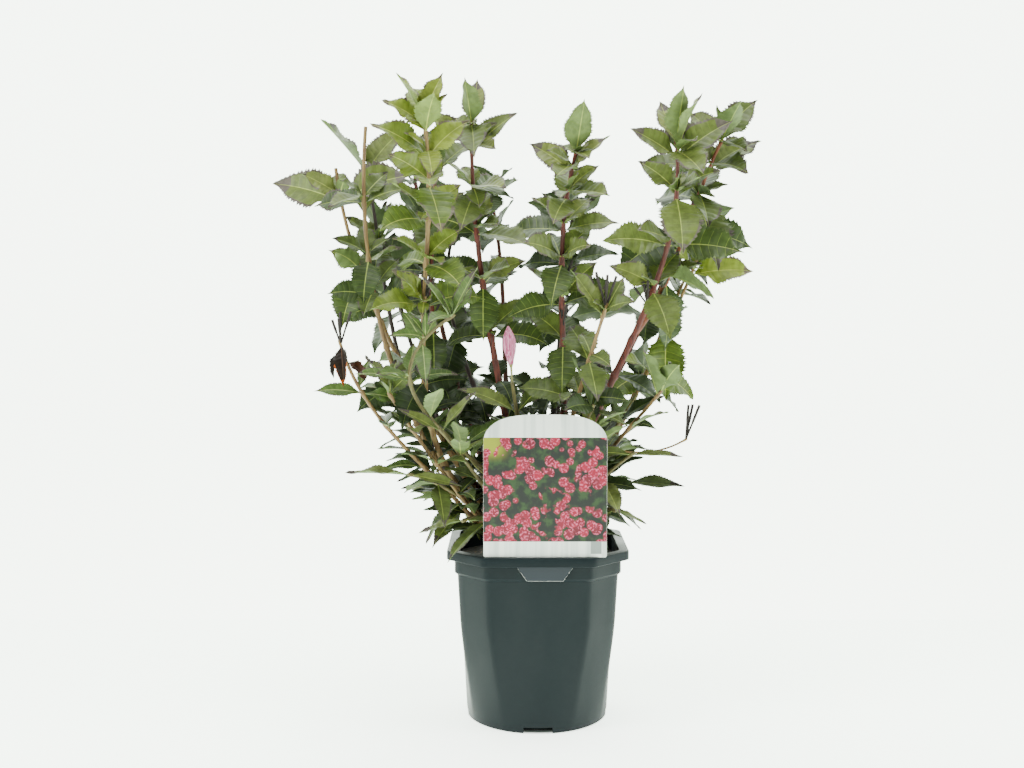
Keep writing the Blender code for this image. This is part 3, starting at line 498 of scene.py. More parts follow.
# The form of a leaf: small and upright near the tip, long and spreading lower down
def growLeaf(room, draw, root, compass, age, shoot, scale=1.0):
    high = root.z > growth["lowTop"]
    length = np.interp(age, growth["young"], (shoot["young"] * growth["younger"], 1))
    length *= shoot["leaf"] * scale * draw.uniform(*growth["lengths"])
    width = length * np.interp(age, growth["young"], growth["breadths"])
    width *= draw.uniform(*growth["widths"])
    if not high or shoot["palette"] == "pale":
        width *= growth["lowWidth"]
    rise = np.interp(age, growth["riseAges"], growth["rises"]) + shoot["tilt"]
    rise += draw.uniform(-growth["riseSpread"], growth["riseSpread"])
    if high and age > growth["frontAge"]:
        rise -= growth["frontDrop"] * max(0, -sin(compass)) ** 2
    if high and age > growth["sideAge"]:
        rise -= growth["sideDrop"] * cos(compass) ** 2
    droop = np.interp(age, growth["droopAges"], growth["droops"])
    droop *= draw.uniform(*growth["droopSpread"])
    fold = np.interp(age, growth["young"], growth["folds"])
    roll = shoot["face"] * growth["faceShare" if high else "lowFaceShare"] * cos(compass)
    roll += draw.uniform(-growth["rollSpread"], growth["rollSpread"])
    for swing, lift in growth["attempts"]:
        form = dict(root=root, compass=compass + radians(swing),
                    rise=radians(rise + lift), length=length, width=width,
                    droop=radians(droop), fold=radians(fold), roll=radians(roll),
                    age=age)
        if room.take(shoot["name"], guardLeaf(form, 0.0), guardLeaf(form, growth["guardStart"])):
            return [form]
    return []


def growPair(room, draw, root, compass, age, shoot, scale=1.0):
    forms = []
    for halfTurn in (0, pi):
        swing = radians(draw.uniform(-growth["swingSpread"], growth["swingSpread"]))
        forms += growLeaf(room, draw, root, compass + halfTurn + swing, age, shoot, scale)
    return forms


# A side twig that curves upwards, with two leaf pairs, where there is room for it
def growTwig(room, draw, root, compass, age, shoot):
    length = draw.uniform(*limb["twigLengths"])
    out = outward(compass)
    bend = root + out * length * 0.55 + Vector((0, 0, length * 0.35))
    path = Path(root, bend, bend + out * length * 0.25 + Vector((0, 0, length * 0.45)))
    guard = limb["twigGirth"] + growth["guard"]
    whole, outer = (tube(path, (start, *limb["twigShares"][1:]), guard, guard, 3)
                    for start in (0, growth["guardStart"]))
    if not room.take(shoot["name"], whole, outer):
        return [], []
    forms = []
    for share, turn in limb["twigPairs"]:
        place = onLimb(path, limb["twigShares"], share)
        forms += growPair(room, draw, place, compass + radians(turn),
                          age + (1 - share) * length, shoot, limb["twigLeaf"])
    return [path], forms


# The leaf forms, side twigs and dry stalks of one shoot, in the solids' own order
def growShoot(room, shoot):
    draw = random.Random(shoot["name"])
    path = paths[shoot["name"]]
    start = shoot["bare"] + 0.0003 / path.length if shoot["bare"] else 0
    shares = ringShares(path, start, shoot["nodes"])
    tip = onLimb(path, shares, limb["stalkFoot"])
    stalks, twigs, forms = [], [], []
    for stalk in range(shoot["stalks"]):
        turn = 2 * pi * stalk / shoot["stalks"] + draw.uniform(-0.3, 0.3)
        lean = (outward(turn) * limb["stalkLean"] + Vector((0, 0, 1))).normalized()
        stalks.append(Path(tip, tip + lean * draw.uniform(*limb["stalkLengths"])))
        girth = limb["stalkGirth"]
        room.add(shoot["name"], *skin(tube(stalks[-1], (0, 1), girth, girth, 3)))
    if shoot["bud"]:
        stalks.append(Path(tip, tip + Vector(limb["budReach"])))
        room.add(shoot["name"], *skin([tube(stalks[-1], (share,), radius, radius, 6)[0]
                                       for share, radius in limb["budProfile"]]))
    for order, share in enumerate(sorted(shoot["nodes"], reverse=True)):
        compass = radians(shoot["turn"] + 90 * order)
        age = (1 - share) * path.length
        if order >= len(shoot["nodes"]) - shoot["twigs"]:
            below = onLimb(path, shares, share - limb["underPair"])
            for halfTurn in (0, pi):
                side = compass + halfTurn + pi / 4 + radians(draw.uniform(-20, 20))
                more, moreForms = growTwig(room, draw, below, side, age * limb["twigYouth"], shoot)
                twigs += more
                forms += moreForms
        forms += growPair(room, draw, onLimb(path, shares, share), compass, age, shoot)
    return forms, twigs, stalks


# Leaves inside the crown, and tufts of small leaves above the leaf pairs of each stem. A tuft
# has its smallest and largest leaf as a share of the shoot's, its tilts and its lowest height.
fill = dict(
    low=0.19, high=0.37, reach=0.15, start=0.10, spacing=0.027, leaf=(0.036, 0.062),
    tilt=(-34, 30), age=0.2, tuftAge=0.04, aside=0.007,
    tufts=((0.62, 0.86, -6, 22, 0.34), (0.40, 0.62, 0, 40, 0.44), (0.26, 0.45, 10, 45, 0.40)))


def growMore(room, shoot):
    draw = random.Random(shoot["name"] + "more")
    path = paths[shoot["name"]]
    tufts, forms = [], []
    for smallest, largest, lowTilt, highTilt, lowest in fill["tufts"]:
        for node in shoot["nodes"]:
            for halfTurn in (0, pi):
                plan = {**shoot, "leaf": shoot["leaf"] * draw.uniform(smallest, largest),
                        "young": 1, "tilt": draw.uniform(lowTilt, highTilt)}
                root = path.point(min(0.99, node + fill["aside"] / path.length))
                turn = draw.uniform(0, pi) + halfTurn
                if root.z > lowest:
                    tufts += growLeaf(room, draw, root, turn, fill["tuftAge"], plan)
    share = fill["start"]
    while share < (shoot["bare"] or min(shoot["nodes"])) - 0.02:
        place = path.point(share)
        if fill["low"] < place.z < fill["high"] and hypot(place.x, place.y) < fill["reach"]:
            turn = draw.uniform(0, pi)
            for halfTurn in (0, pi):
                plan = {**shoot, "leaf": draw.uniform(*fill["leaf"]), "young": 1,
                        "tilt": draw.uniform(*fill["tilt"])}
                side = turn + halfTurn + draw.uniform(-0.4, 0.4)
                forms += growLeaf(room, draw, place, side, fill["age"], plan)
        share += fill["spacing"] * draw.uniform(0.7, 1.3) / path.length
    return tufts, forms


# Leaf meshes

blade = dict(
    outline=((0, 0.016), (0.04, 0.020), (0.07, 0.06), (0.12, 0.19), (0.20, 0.35), (0.30, 0.47),
             (0.40, 0.51), (0.50, 0.50), (0.60, 0.46), (0.70, 0.38), (0.78, 0.27), (0.85, 0.15),
             (0.91, 0.07), (0.96, 0.025), (1, 0)),
    veins=(0.12, 0.21, 0.31, 0.41, 0.52, 0.63, 0.74, 0.84), smallVeins=(0.18, 0.38, 0.60, 0.80),
    smallLength=0.036, lastTooth=0.98, veinHalf=0.0035, sweep=0.13, ribHalf=0.0006,
    columns=(-1, -0.84, -0.45, 0, 0, 0.45, 0.84, 1), ribSink=0.0003, ribUnder=0.0005,
    thick=0.0005, quilt=0.020, puffs=(-0.5, -0.5, 0.8, 0.8), teeth=(-0.6, 1, -0.7, 0.8),
    tooth=0.12, wave=0.07, wavy=(0.5, 1.3), waves=(11, 17), petiole=0.055, skew=0.10)


def leafPlace(form, share, offset, lift):    # points beside and above a leaf's middle line
    middles = np.array([tuple(point) for point in leafLine(form)])
    stops = np.linspace(0, 1, len(middles))
    pitch = (form["rise"] + form["droop"] * (0.5 - share))[..., None]
    out = np.array((cos(form["compass"]), sin(form["compass"]), 0))
    across = np.array((-sin(form["compass"]), cos(form["compass"]), 0))
    heading = out * np.cos(pitch) + np.array((0, 0, 1)) * np.sin(pitch)
    roll = (form["roll"] * np.minimum(1, share * 3))[..., None]
    other = np.cross(heading, np.broadcast_to(across, heading.shape))
    sideways = across * np.cos(roll) + other * np.sin(roll)
    middle = np.stack([np.interp(share, stops, column) for column in middles.T], axis=-1)
    return middle + sideways * offset[..., None] + np.cross(heading, sideways) * lift[..., None]


# Rings round one leaf and the kind of each span between them. The blade is quilted between
# side veins that sweep forwards, with teeth and gentle waves along its margin.
def leafMesh(form, draw):
    width, fold = form["width"], form["fold"]
    veins = blade["smallVeins" if form["length"] < blade["smallLength"] else "veins"]
    rows = [(0, 0, 0), (blade["petiole"], 0, 0)]    # the place, puff and tooth of each row
    kinds = ["rib", "blade"]
    for vein, after in zip(veins, veins[1:] + (blade["lastTooth"],)):
        places = (vein - blade["veinHalf"], vein + blade["veinHalf"],
                  vein * 0.66 + after * 0.34, vein * 0.33 + after * 0.67)
        rows += zip(places, blade["puffs"], blade["teeth"])
        kinds += ["vein", "blade", "blade", "blade"]
    place, puff, tooth = (np.array(each)[:, None] for each in zip(*rows))
    columns = np.array([blade["columns"]])
    reach = np.abs(columns)
    side = np.array([[-1] * 4 + [1] * 4])
    sweep = np.where(place > blade["petiole"], blade["sweep"] * (1 - place), 0)
    share = place + sweep * reach ** 1.3
    half = width * np.interp(share, *zip(*blade["outline"]))
    rib = np.minimum(half * 0.8, blade["ribHalf"] * (1.3 - share))
    margin = 1 + tooth * blade["tooth"] * (reach == 1) * (share > 0.1)
    offset = side * (rib + (half - rib) * reach * margin)
    wave = width * blade["wave"] * draw.uniform(*blade["wavy"]) * reach ** 2 * np.sin(
        share * draw.uniform(*blade["waves"]) + draw.uniform(0, 6.28) + 2.2 * side)
    flat = np.abs(offset) * sin(fold) + wave * (share > 0.1)
    quilt = blade["quilt"] * width * np.sin(np.pi * reach)
    upper = flat + puff * quilt + blade["thick"] / 2 * (reach < 1)
    upper = upper - blade["ribSink"] * (reach == 0) * (place > 0)
    lower = flat - 0.5 * quilt - blade["thick"] / 2 - blade["ribUnder"] * (reach == 0)
    skew = draw.uniform(-1, 1) * blade["skew"] * width * share * (1 - share)
    offset = offset * cos(fold) + skew
    back = [6, 5, 4, 3, 2, 1]    # the underside's columns, against the upper face's
    top = leafPlace(form, share, offset, upper)
    under = leafPlace(form, share[:, back], offset[:, back], lower[:, back])
    rings = [[*near, *far] for near, far in zip(top, under)]
    rings.append([*leafPlace(form, np.array([1.0]), np.array([0.0]), np.array([0.0]))])
    return rings, kinds


# Adds a leaf to a shape. Its slots are 0 rib, 1 vein, 2 underside, 3 blush and then the tones
# of the blade: young leaves take the first, old ones the last.
def addLeaf(shape, form, draw, blush, tone=None):
    rings, kinds = leafMesh(form, draw)
    if tone is None:
        tone = min(2, max(0, round(min(1.0, form["age"] / 0.12) * 2 + draw.uniform(-0.6, 0.6))))
    points, faces = wrap(rings)
    slots = []
    for step in range(len(faces) - 1):
        span, column = divmod(step, len(rings[0]))
        kind = kinds[min(span, len(kinds) - 1)]
        tips = len(kinds) - 1 - span
        if column in (3, 10) or kind == "rib":
            slots.append(0)
        elif column > 6:
            slots.append(1 if kind == "vein" and column in (8, 9, 11, 12) else 2)
        elif blush and (tips < 4 * blush or (column in (0, 6) and tips < 6 + 12 * blush)):
            slots.append(3)
        elif kind == "vein" and column in (1, 2, 4, 5):
            slots.append(1)
        else:
            slots.append(4 + tone)
    shape.add(points, faces, slots + [0])


# Pot

potSizes = dict(
    rimHalf=0.095, rimFlat=0.057, rimTop=0.1885, lipDepth=0.0094, lipReach=0.008,
    collarFoot=0.1650, collarStep=0.003, kink=0.114, kinkHalf=0.0815, footRadius=0.076,
    footFlat=0.040, wall=0.002, shelfTop=0.009, shelfRadius=0.058, floorTop=0.0025, steps=8,
    corner=0.004, lipRound=0.0012, notchWidth=0.030, notchTop=0.0065, notchDepth=0.024,
    notchReach=0.074, gap=0.0003)
rimTop, collarFoot, wallThick = (potSizes[name] for name in ("rimTop", "collarFoot", "wall"))


# One turn round the pot: eight sides with small round corners, blended by the rounding towards
# a circle of the half width
def outline(half, flat, height, rounding=0.0):
    quarter = [(half, -flat), (half, flat), (flat, half), (-flat, half)]
    corners = [Vector(corner) for corner in quarter + [(-x, -y) for x, y in quarter]]
    ring = []
    for before, corner, after in zip(corners[-1:] + corners, corners, corners[1:] + corners[:1]):
        back, front, beyond = (
            near + (far - near).normalized() * potSizes["corner"]
            for near, far in ((corner, before), (corner, after), (after, corner)))
        run = [back.lerp(corner, share).lerp(corner.lerp(front, share), share)
               for share in (0, 0.25, 0.5, 0.75, 1)]
        steps = potSizes["steps"]
        run += [front.lerp(beyond, step / steps) for step in range(1, steps)]
        for straight in run:
            bent = straight.lerp(straight.normalized() * half, rounding)
            ring.append(Vector((bent.x, bent.y, height)))
    return ring


def inset(half, flat, depth):
    return half - depth, flat - depth * tan(radians(22.5))


rim = (potSizes["rimHalf"], potSizes["rimFlat"])
collar = inset(*rim, potSizes["lipReach"])
body = inset(*collar, potSizes["collarStep"])
kink = (potSizes["kinkHalf"], body[1] * potSizes["kinkHalf"] / body[0])


def footOutline(height, depth):    # the pot grows rounder from the kink in its sides to its foot
    share = height / potSizes["kink"]
    half = potSizes["footRadius"] + (kink[0] - potSizes["footRadius"]) * share
    flat = potSizes["footFlat"] + (kink[1] - potSizes["footFlat"]) * share
    return outline(*inset(half, flat, depth), height, (1 - share) ** 1.5)


def insideRings(depth, top):    # the pot's inner face up to the top, moved inwards by the depth
    wall = wallThick + depth
    shelf = potSizes["shelfRadius"] - depth
    flat = potSizes["footFlat"] * potSizes["shelfRadius"] / potSizes["footRadius"]
    rings = [outline(shelf, flat, potSizes["floorTop"] + depth, 1),
             outline(shelf, flat, potSizes["shelfTop"] + depth, 1),
             footOutline(potSizes["shelfTop"] + depth, wall),
             footOutline(potSizes["kink"] / 2, wall)]
    return rings + [outline(*inset(*form, wall), height) for form, height in (
        (kink, potSizes["kink"]), (body, collarFoot - potSizes["collarStep"]),
        (collar, collarFoot), (collar, top))]


potPaint = Shader("potPlastic", (7, 18, 21), 0.40, Specular_IOR_Level=0.13)
grain = potPaint.noise(0.0012, detail=2)
patches = potPaint.noise(0.05, (1, 1, 0.4))
potPaint.set("Roughness", patches.between(0.3, 0.7) * 0.16 + grain * 0.1 + 0.30)
potPaint.bump(grain, 0.00006)


def makePot():
    lipFoot, soft = rimTop - potSizes["lipDepth"], potSizes["lipRound"]
    rings = [footOutline(0, 0.0012), footOutline(0.0008, 0.0002)]
    rings += [footOutline(potSizes["kink"] * step / 12, 0) for step in range(1, 13)]
    profile = [
        (body, 0, collarFoot - potSizes["collarStep"]), (collar, 0.0006, collarFoot - 0.0008),
        (collar, 0, collarFoot), (collar, 0, rimTop - wallThick),
        (rim, wallThick, rimTop - wallThick), (rim, wallThick, lipFoot),
        (rim, wallThick * 0.3, lipFoot), (rim, 0, lipFoot + 0.0005)]
    profile += [(rim, soft * (1 - cos(turn)), rimTop - soft * (1 - sin(turn)))
                for turn in (0, radians(30), radians(60), radians(90))]
    rings += [outline(*inset(*form, depth), height) for form, depth, height in profile]
    inner = inset(*collar, wallThick)
    rings += [outline(*inset(*inner, -soft * 0.5), rimTop), outline(*inner, rimTop - soft * 0.6)]
    rings += insideRings(0, rimTop - wallThick)[::-1]
    pot = newPiece("potShell", Shape(*wrap(rings)), [potPaint.material], 28)
    faceOut(pot)
    size = (potSizes["notchWidth"], potSizes["notchDepth"], potSizes["notchTop"] + 0.010)
    for quarter in range(4):    # drain notches in the foot
        turn = radians(90 * quarter)
        place = (sin(turn) * potSizes["notchReach"], -cos(turn) * potSizes["notchReach"])
        cutBlock(pot, (*place, potSizes["notchTop"] / 2 - 0.005), size, turn)
    slot = (2 * (labelSizes["tongueHalf"] + potSizes["gap"]),
            labelSizes["thick"] + 2 * potSizes["gap"], 0.008)
    cutBlock(pot, (labelSizes["middle"], labelSizes["y"], rimTop), slot)
    finishPiece(pot, "pot", "pot")


# Soil

soilSizes = dict(edge=0.1675, top=0.1695, table=0.045, slope=0.04, rings=16, lump=0.0012,
                 crumbs=900, crumbSize=(0.0010, 0.0030), crumbReach=0.080)
soilPaint = Shader("soilDark", (34, 28, 24), 0.95)
light = soilPaint.noise(0.006, detail=4).between(0.55, 0.72)
soilPaint.set("Base Color", soilPaint.mix(light, (30, 25, 22), (84, 62, 44)))
soilPaint.bump(soilPaint.noise(0.004, detail=5, rough=0.7), 0.0012)
crumbPaints = [Shader("crumb" + str(order), colour, 0.9).material
               for order, colour in enumerate(((40, 33, 28), (72, 54, 40), (112, 86, 62)))]


def soilHeight(x, y):
    reach = max(0.0, hypot(x, y) - soilSizes["table"]) / soilSizes["slope"]
    return soilSizes["top"] - (soilSizes["top"] - soilSizes["edge"]) * min(1, reach)


def makeSoil():
    draw = random.Random(5)
    rings = insideRings(potSizes["gap"], soilSizes["edge"])
    edge = rings[-1]
    for step in range(1, soilSizes["rings"]):
        share = 1 - step / soilSizes["rings"]
        places = [(point.x * share, point.y * share) for point in edge]
        rings.append([Vector((*place, soilHeight(*place) - draw.uniform(0, soilSizes["lump"])))
                      for place in places])
    rings.append([Vector((0, 0, soilSizes["top"] - 0.0005))])
    soil = newPiece("soilBody", Shape(*wrap(rings)), [soilPaint.material], 70)
    faceOut(soil)
    finishPiece(soil, "soil", "soil")

    square = [(-1, -1), (1, -1), (1, 1), (-1, 1)]
    crumbs = Shape()
    for crumb in range(soilSizes["crumbs"]):
        turn, reach = draw.uniform(0, 6.28), sqrt(draw.random()) * soilSizes["crumbReach"]
        size = draw.uniform(*soilSizes["crumbSize"])
        middle = outward(turn) * reach
        middle.z = soilHeight(middle.x, middle.y) - size * 0.45
        spin = Matrix.Rotation(draw.uniform(0, 6.28), 3, "Z")
        spin = spin @ Matrix.Rotation(draw.uniform(-0.5, 0.5), 3, "X")
        stretch = [draw.uniform(*each) for each in ((0.7, 1.8), (0.6, 1.1), (0.4, 0.7))]
        stretch = Vector(stretch) * size * 0.5
        points = []
        for corner in [(x, y, z) for z in (-1, 1) for x, y in square]:
            jitter = Vector([draw.uniform(0.6, 1.1) for axis in range(3)])
            points.append(middle + spin @ (Vector(corner) * jitter * stretch))
        crumbs.add(points, ((3, 2, 1, 0), (4, 5, 6, 7), (0, 1, 5, 4), (1, 2, 6, 5), (2, 3, 7, 6),
                            (3, 0, 4, 7)), draw.choice((0, 0, 0, 1, 1, 2)))
    finishPiece(newPiece("soilCrumbs", crumbs, crumbPaints, 20), "soil")


# Label

labelSizes = dict(
    middle=0.0065, width=0.125, shoulder=0.306, top=0.334, thick=0.0008, arch=0.62, y=-0.090,
    tongueHalf=0.0285, tongueEndHalf=0.0185, tongueTurn=0.1785, tongueFoot=0.1640,
    corner=0.0015, soft=0.00012, headerFoot=0.3105, footerTop=0.2046, blur=0.0004,
    flower=1 / 105, cluster=0.034, stripe=(0.0525, 0.0635), stripeFoot=0.1920)
labelPaint = Shader("labelPicture", (110, 50, 62), 0.4, Specular_IOR_Level=0.3)
tonguePaint = Shader("labelTongue", (18, 26, 34), 0.38, Specular_IOR_Level=0.25)
edgePaint = Shader("labelEdge", (232, 234, 228), 0.5)


# Blossom on dark leaves between a board on top and a band below, all of it made of noise
def paintLabel():
    shader, flat = labelPaint, (1, 0, 1)
    high, across = shader.axis("Z"), shader.axis("X")

    def above(value, edge):
        return value.between(edge, edge + labelSizes["blur"])

    petals, shades = (shader.add("ShaderNodeTexVoronoi", {"feature": "F1"}, shader.place(flat),
                                 1 / labelSizes["flower"], output=output) for output in (0, 1))
    leaves = shader.mix(shader.noise(0.010, flat, 4).between(0.44, 0.64), (8, 14, 8), (30, 52, 18))
    corner = (1 - across.between(-0.046, -0.026)) * high.between(0.284, 0.300)
    leaves = shader.mix(corner, leaves, (122, 128, 12))
    shade = shader.add("ShaderNodeSeparateColor", None, shades)
    pink = shader.mix(shade, (84, 0, 22), (134, 4, 40))
    margin = petals.between(0.10, 0.40) * shader.noise(0.0022, flat, 3).between(0.49, 0.60)
    pink = shader.mix(margin, pink, (184, 80, 108))
    cluster = shader.noise(labelSizes["cluster"], flat, 3).between(0.40, 0.44)
    picture = shader.mix(cluster * (1 - petals.between(0.50, 0.62)), leaves, pink)
    boards = shader.noise(0.008, (1, 0, 0.04), 2).between(0.35, 0.7)
    wood = shader.mix(boards, (212, 216, 208), (176, 184, 178))
    footer = 1 - above(high, labelSizes["footerTop"])
    picture = shader.mix(above(high, labelSizes["headerFoot"]), picture, wood)
    picture = shader.mix(footer, picture, wood)
    left, right = labelSizes["stripe"]
    stripe = footer * above(across, left) * (1 - above(across, right))
    stripe = stripe * above(high, labelSizes["stripeFoot"])
    shader.set("Base Color", shader.mix(stripe, picture, (120, 128, 124)))


def makeLabel():
    half, foot = labelSizes["width"] / 2, rimTop + potSizes["gap"]
    corner, soft, thick = labelSizes["corner"], labelSizes["soft"], labelSizes["thick"] / 2
    tongue, end = labelSizes["tongueHalf"], labelSizes["tongueEndHalf"]
    plate = [(tongue, foot), (half - corner, foot), (half, foot + corner)]
    rise = labelSizes["top"] - labelSizes["shoulder"]
    for step in range(41):
        turn = pi * step / 40
        across = copysign(abs(cos(turn)) ** labelSizes["arch"], cos(turn))
        plate.append((half * across, labelSizes["shoulder"] + rise * sin(turn)))
    plate += [(-half, foot + corner), (-half + corner, foot), (-tongue, foot)]
    tongue = [plate[-1], (-tongue, labelSizes["tongueTurn"]), (-end, labelSizes["tongueFoot"]),
              (end, labelSizes["tongueFoot"]), (tongue, labelSizes["tongueTurn"]), plate[0]]
    for name, shape, paint in (("labelPlate", plate, labelPaint),
                               ("labelTongue", tongue, tonguePaint)):
        middle = Vector((0, sum(z for x, z in shape) / len(shape)))
        rings = []
        for side, shrink in ((-thick, soft), (-thick + soft, 0), (thick - soft, 0), (thick, soft)):
            rings.append([Vector((labelSizes["middle"] + x - copysign(shrink, x),
                                  labelSizes["y"] + side,
                                  z - copysign(shrink, z - middle.y))) for x, z in shape])
        points, faces = wrap(rings)
        shape = Shape(points, faces, [1] * (len(faces) - 2) + [0, 0])
        label = newPiece(name, shape, [paint.material, edgePaint.material], 30)
        faceOut(label)
        finishPiece(label, "label", "label")


# Wood

barkColours = {
    "tan": ((124, 100, 56), (88, 64, 38)), "pale": ((132, 110, 64), (98, 74, 44)),
    "red": ((96, 36, 20), (56, 20, 14)), "dark": ((46, 26, 20), (28, 16, 14)),
    "rose": ((124, 66, 34), (84, 42, 26)), "green": ((92, 86, 40), (66, 58, 30))}
wood = dict(
    thicker=1.5, stub=0.0019, wobble=0.05, swell=0.38, swellReach=0.0032, scarSpacing=0.09,
    foot=0.015, sides=10, leafySides=8, twigSides=6, step=0.006, twigStep=0.007, stalkStep=0.003,
    twigGirths=(0.00095, 0.00080), dryGirth=0.0011, knob=0.0004, stalkReach=1.5,
    leafGreen=(138, 140, 84))
mound = dict(levels=25, sides=84, lumps=14, lump=0.05, ridge=0.05, rough=0.012, lift=0.0003)

# Dry flower clusters: a share of the stem, the count of stalks and the side they lean to
dryClusters = dict(
    left_pale=((0.62, 3, 0.2),), middle_right=((0.56, 4, 0.3), (0.66, 2, 0.5)),
    right_main=((0.62, 3, -0.4),), left_straight=((0.60, 2, 0.2),))
dryTwig = dict(carrier="right_low", share=0.62, leans=(0.014, 0.003, 0.008),
               way=((0.130, -0.044, 0.293), (0.156, -0.042, 0.304)))


def barkPaint(name, light, dark, relief=0.0004):    # long streaks and raised dots
    shader = Shader(name, light, 0.7)
    streaks = shader.noise(0.0016, (1, 1, 0.10), 4)
    patches = shader.noise(0.022, (1, 1, 0.5), 2)
    colour = shader.mix(streaks.between(0.35, 0.68), light, dark)
    shader.set("Base Color", shader.mix(patches.between(0.45, 0.7) * 0.5, colour, dark))
    shader.bump(streaks, relief)
    return shader.material


baseBark = barkPaint("barkBase", (118, 92, 66), (66, 48, 36), 0.0012)
barks, youngBarks = {}, {}
for name, (light, dark) in barkColours.items():
    young = [round(part * 0.55 + green * 0.45) for part, green in zip(light, wood["leafGreen"])]
    barks[name] = barkPaint("bark" + name.title(), light, dark)
    youngBarks[name] = Shader("young" + name.title(), young, 0.6).material


# Rings along a stem, with a low swelling at each leaf pair and small lumps all over
def woodTube(path, start, end, girth, nodes, sides, step, draw):
    count = max(4, round((end - start) * path.length / step))
    places = {start + (end - start) * ring / count for ring in range(count + 1)}
    shifted = [node + shift / path.length for node in nodes for shift in (-0.002, 0, 0.002)]
    places = sorted(places | {place for place in shifted if start < place < end})
    rings = []
    for place, ring in zip(places, tube(path, places, 1, 1, sides)):
        middle = path.point(place)
        swell = sum(exp(-((place - node) * path.length / wood["swellReach"]) ** 2)
                    for node in nodes)
        radius = girth(place) * (1 + wood["swell"] * min(1, swell))
        wobbles = [1 + draw.uniform(-1, 1) * wood["wobble"] for point in ring]
        rings.append([middle + (point - middle) * radius * wobble
                      for point, wobble in zip(ring, wobbles)])
    return rings


# The run of a stem between two shares. One that ends above its last leaves is a thicker stub.
def stemRun(shoot, start, end, scars, sides, draw):
    stub = wood["stub"] if max(shoot["nodes"]) < 0.93 and not shoot["stalks"] else 0
    return woodTube(paths[shoot["name"]], start, end,
                    lambda place: max(girthAt(shoot, place) * wood["thicker"], stub),
                    scars, sides, wood["step"], draw)


def makeStemBase():    # the woody mound, with ridges that run up its flanks
    draw = random.Random(11)
    count, (across, along) = mound["lumps"], limb["baseReach"]
    lumps = [[draw.uniform(-mound["lump"], mound["lump"]) for side in range(count)]
             for ring in limb["profile"]]
    rings = []
    for level in range(mound["levels"]):
        spot = level / (mound["levels"] - 1) * (len(limb["profile"]) - 1)
        low = min(int(spot), len(limb["profile"]) - 2)
        part = spot - low
        (nearShare, nearHeight), (farShare, farHeight) = limb["profile"][low:low + 2]
        height = limb["baseHeight"] * (nearHeight * (1 - part) + farHeight * part)
        height += limb["soilTop"] + mound["lift"] - 0.0006 * (level > 0)
        ring = []
        for side in range(mound["sides"]):
            turn = 2 * pi * side / mound["sides"]
            corner, rest = divmod(side * count / mound["sides"], 1)
            near, far = (row[int(corner)] * (1 - rest) + row[(int(corner) + 1) % count] * rest
                         for row in lumps[low:low + 2])
            reach = nearShare * (1 + near) * (1 - part) + farShare * (1 + far) * part
            ridge = 0.5 + 0.5 * sin(turn * 17 + 2 * sin(turn * 5) + spot)
            reach *= 1 - mound["ridge"] * ridge - draw.uniform(0, mound["rough"])
            ring.append(Vector((cos(turn) * across * reach + limb["baseMiddle"][0],
                                sin(turn) * along * reach, height)))
        rings.append(ring)
    rings.append([Vector((*limb["baseMiddle"], limb["soilTop"] + limb["baseHeight"] - 0.0005))])
    base = newPiece("stemMound", Shape(*wrap(rings)), [baseBark], 60)
    faceOut(base)
    finishPiece(base, "stem_base", "stem_base")


def makeBoughs():    # the bare lower run of each tall shoot, joined by the colour of its bark
    for bark in barkColours:
        mine = [each for each in shoots.values() if each["bark"] == bark and each["bare"]]
        shape = Shape()
        for each in mine:
            scars = np.arange(0.08, each["bare"] - 0.02, wood["scarSpacing"])
            shape.add(*wrap(stemRun(each, wood["foot"], each["bare"], scars, wood["sides"],
                                    random.Random(each["name"] + "bark"))))
        if mine:
            boughs = newPiece("boughs" + bark.title(), shape, [barks[bark]], 70)
            finishPiece(boughs, "bough", *["bough_" + each["name"] for each in mine])


# Foliage

palettes = dict(
    # painted light: a lighter copy of the fresh colours, for the tall shoots on top that catch the
    # light
    sunny=dict(tones=((101, 110, 54), (82, 94, 43), (56, 70, 31)), rib=(140, 152, 74),
               vein=(92, 109, 46), under=(92, 108, 60), blush=(80, 74, 66)),
    fresh=dict(tones=((88, 98, 48), (69, 81, 38), (47, 60, 29)), rib=(124, 138, 66),
               vein=(76, 92, 40), under=(80, 95, 54), blush=(68, 62, 56)),
    lime=dict(tones=((108, 121, 42), (92, 107, 37), (72, 89, 32)), rib=(150, 160, 74),
              vein=(108, 124, 44), under=(102, 118, 60), blush=(84, 76, 62)),
    # painted shade: a darker copy of the fresh colours, for the shoots at the back, some low and
    # middle ones, and the leaves inside the crown
    deep=dict(tones=((54, 66, 33), (43, 56, 27), (34, 46, 23)), rib=(84, 98, 48),
              vein=(54, 67, 34), under=(60, 72, 42), blush=(42, 36, 32)),
    pale=dict(tones=((78, 98, 46), (66, 86, 38), (54, 72, 32)), rib=(128, 142, 80),
              vein=(88, 106, 56), under=(108, 124, 80), blush=(62, 54, 48)))
deadPalette = dict(tones=((30, 23, 18), (24, 20, 16), (58, 32, 16)), rib=(64, 44, 28),
                   vein=(36, 27, 20), under=(28, 22, 18), blush=(140, 66, 20))
# Dead leaves under the dry stalks on the left: share of the stem, compass, rise, length, width
deadLeaves = ((0.98, 285, -66, 0.046, 0.018), (0.96, 200, -72, 0.030, 0.014),
              (0.92, 330, -40, 0.032, 0.015))
dryPaint = Shader("dryStalk", (34, 27, 24), 0.85)
dryPaint.bump(dryPaint.noise(0.002), 0.0004)


def leafPaint(name, colour, roughness):    # a little lighter and darker in soft patches
    shader = Shader(name, colour, roughness, Specular_IOR_Level=0.18)
    patches = shader.noise(0.007).between(0.32, 0.68)
    shader.set("Base Color", shader.mix(patches, [part * 0.90 for part in colour],
                                        [part * 1.08 for part in colour]))
    return shader.material


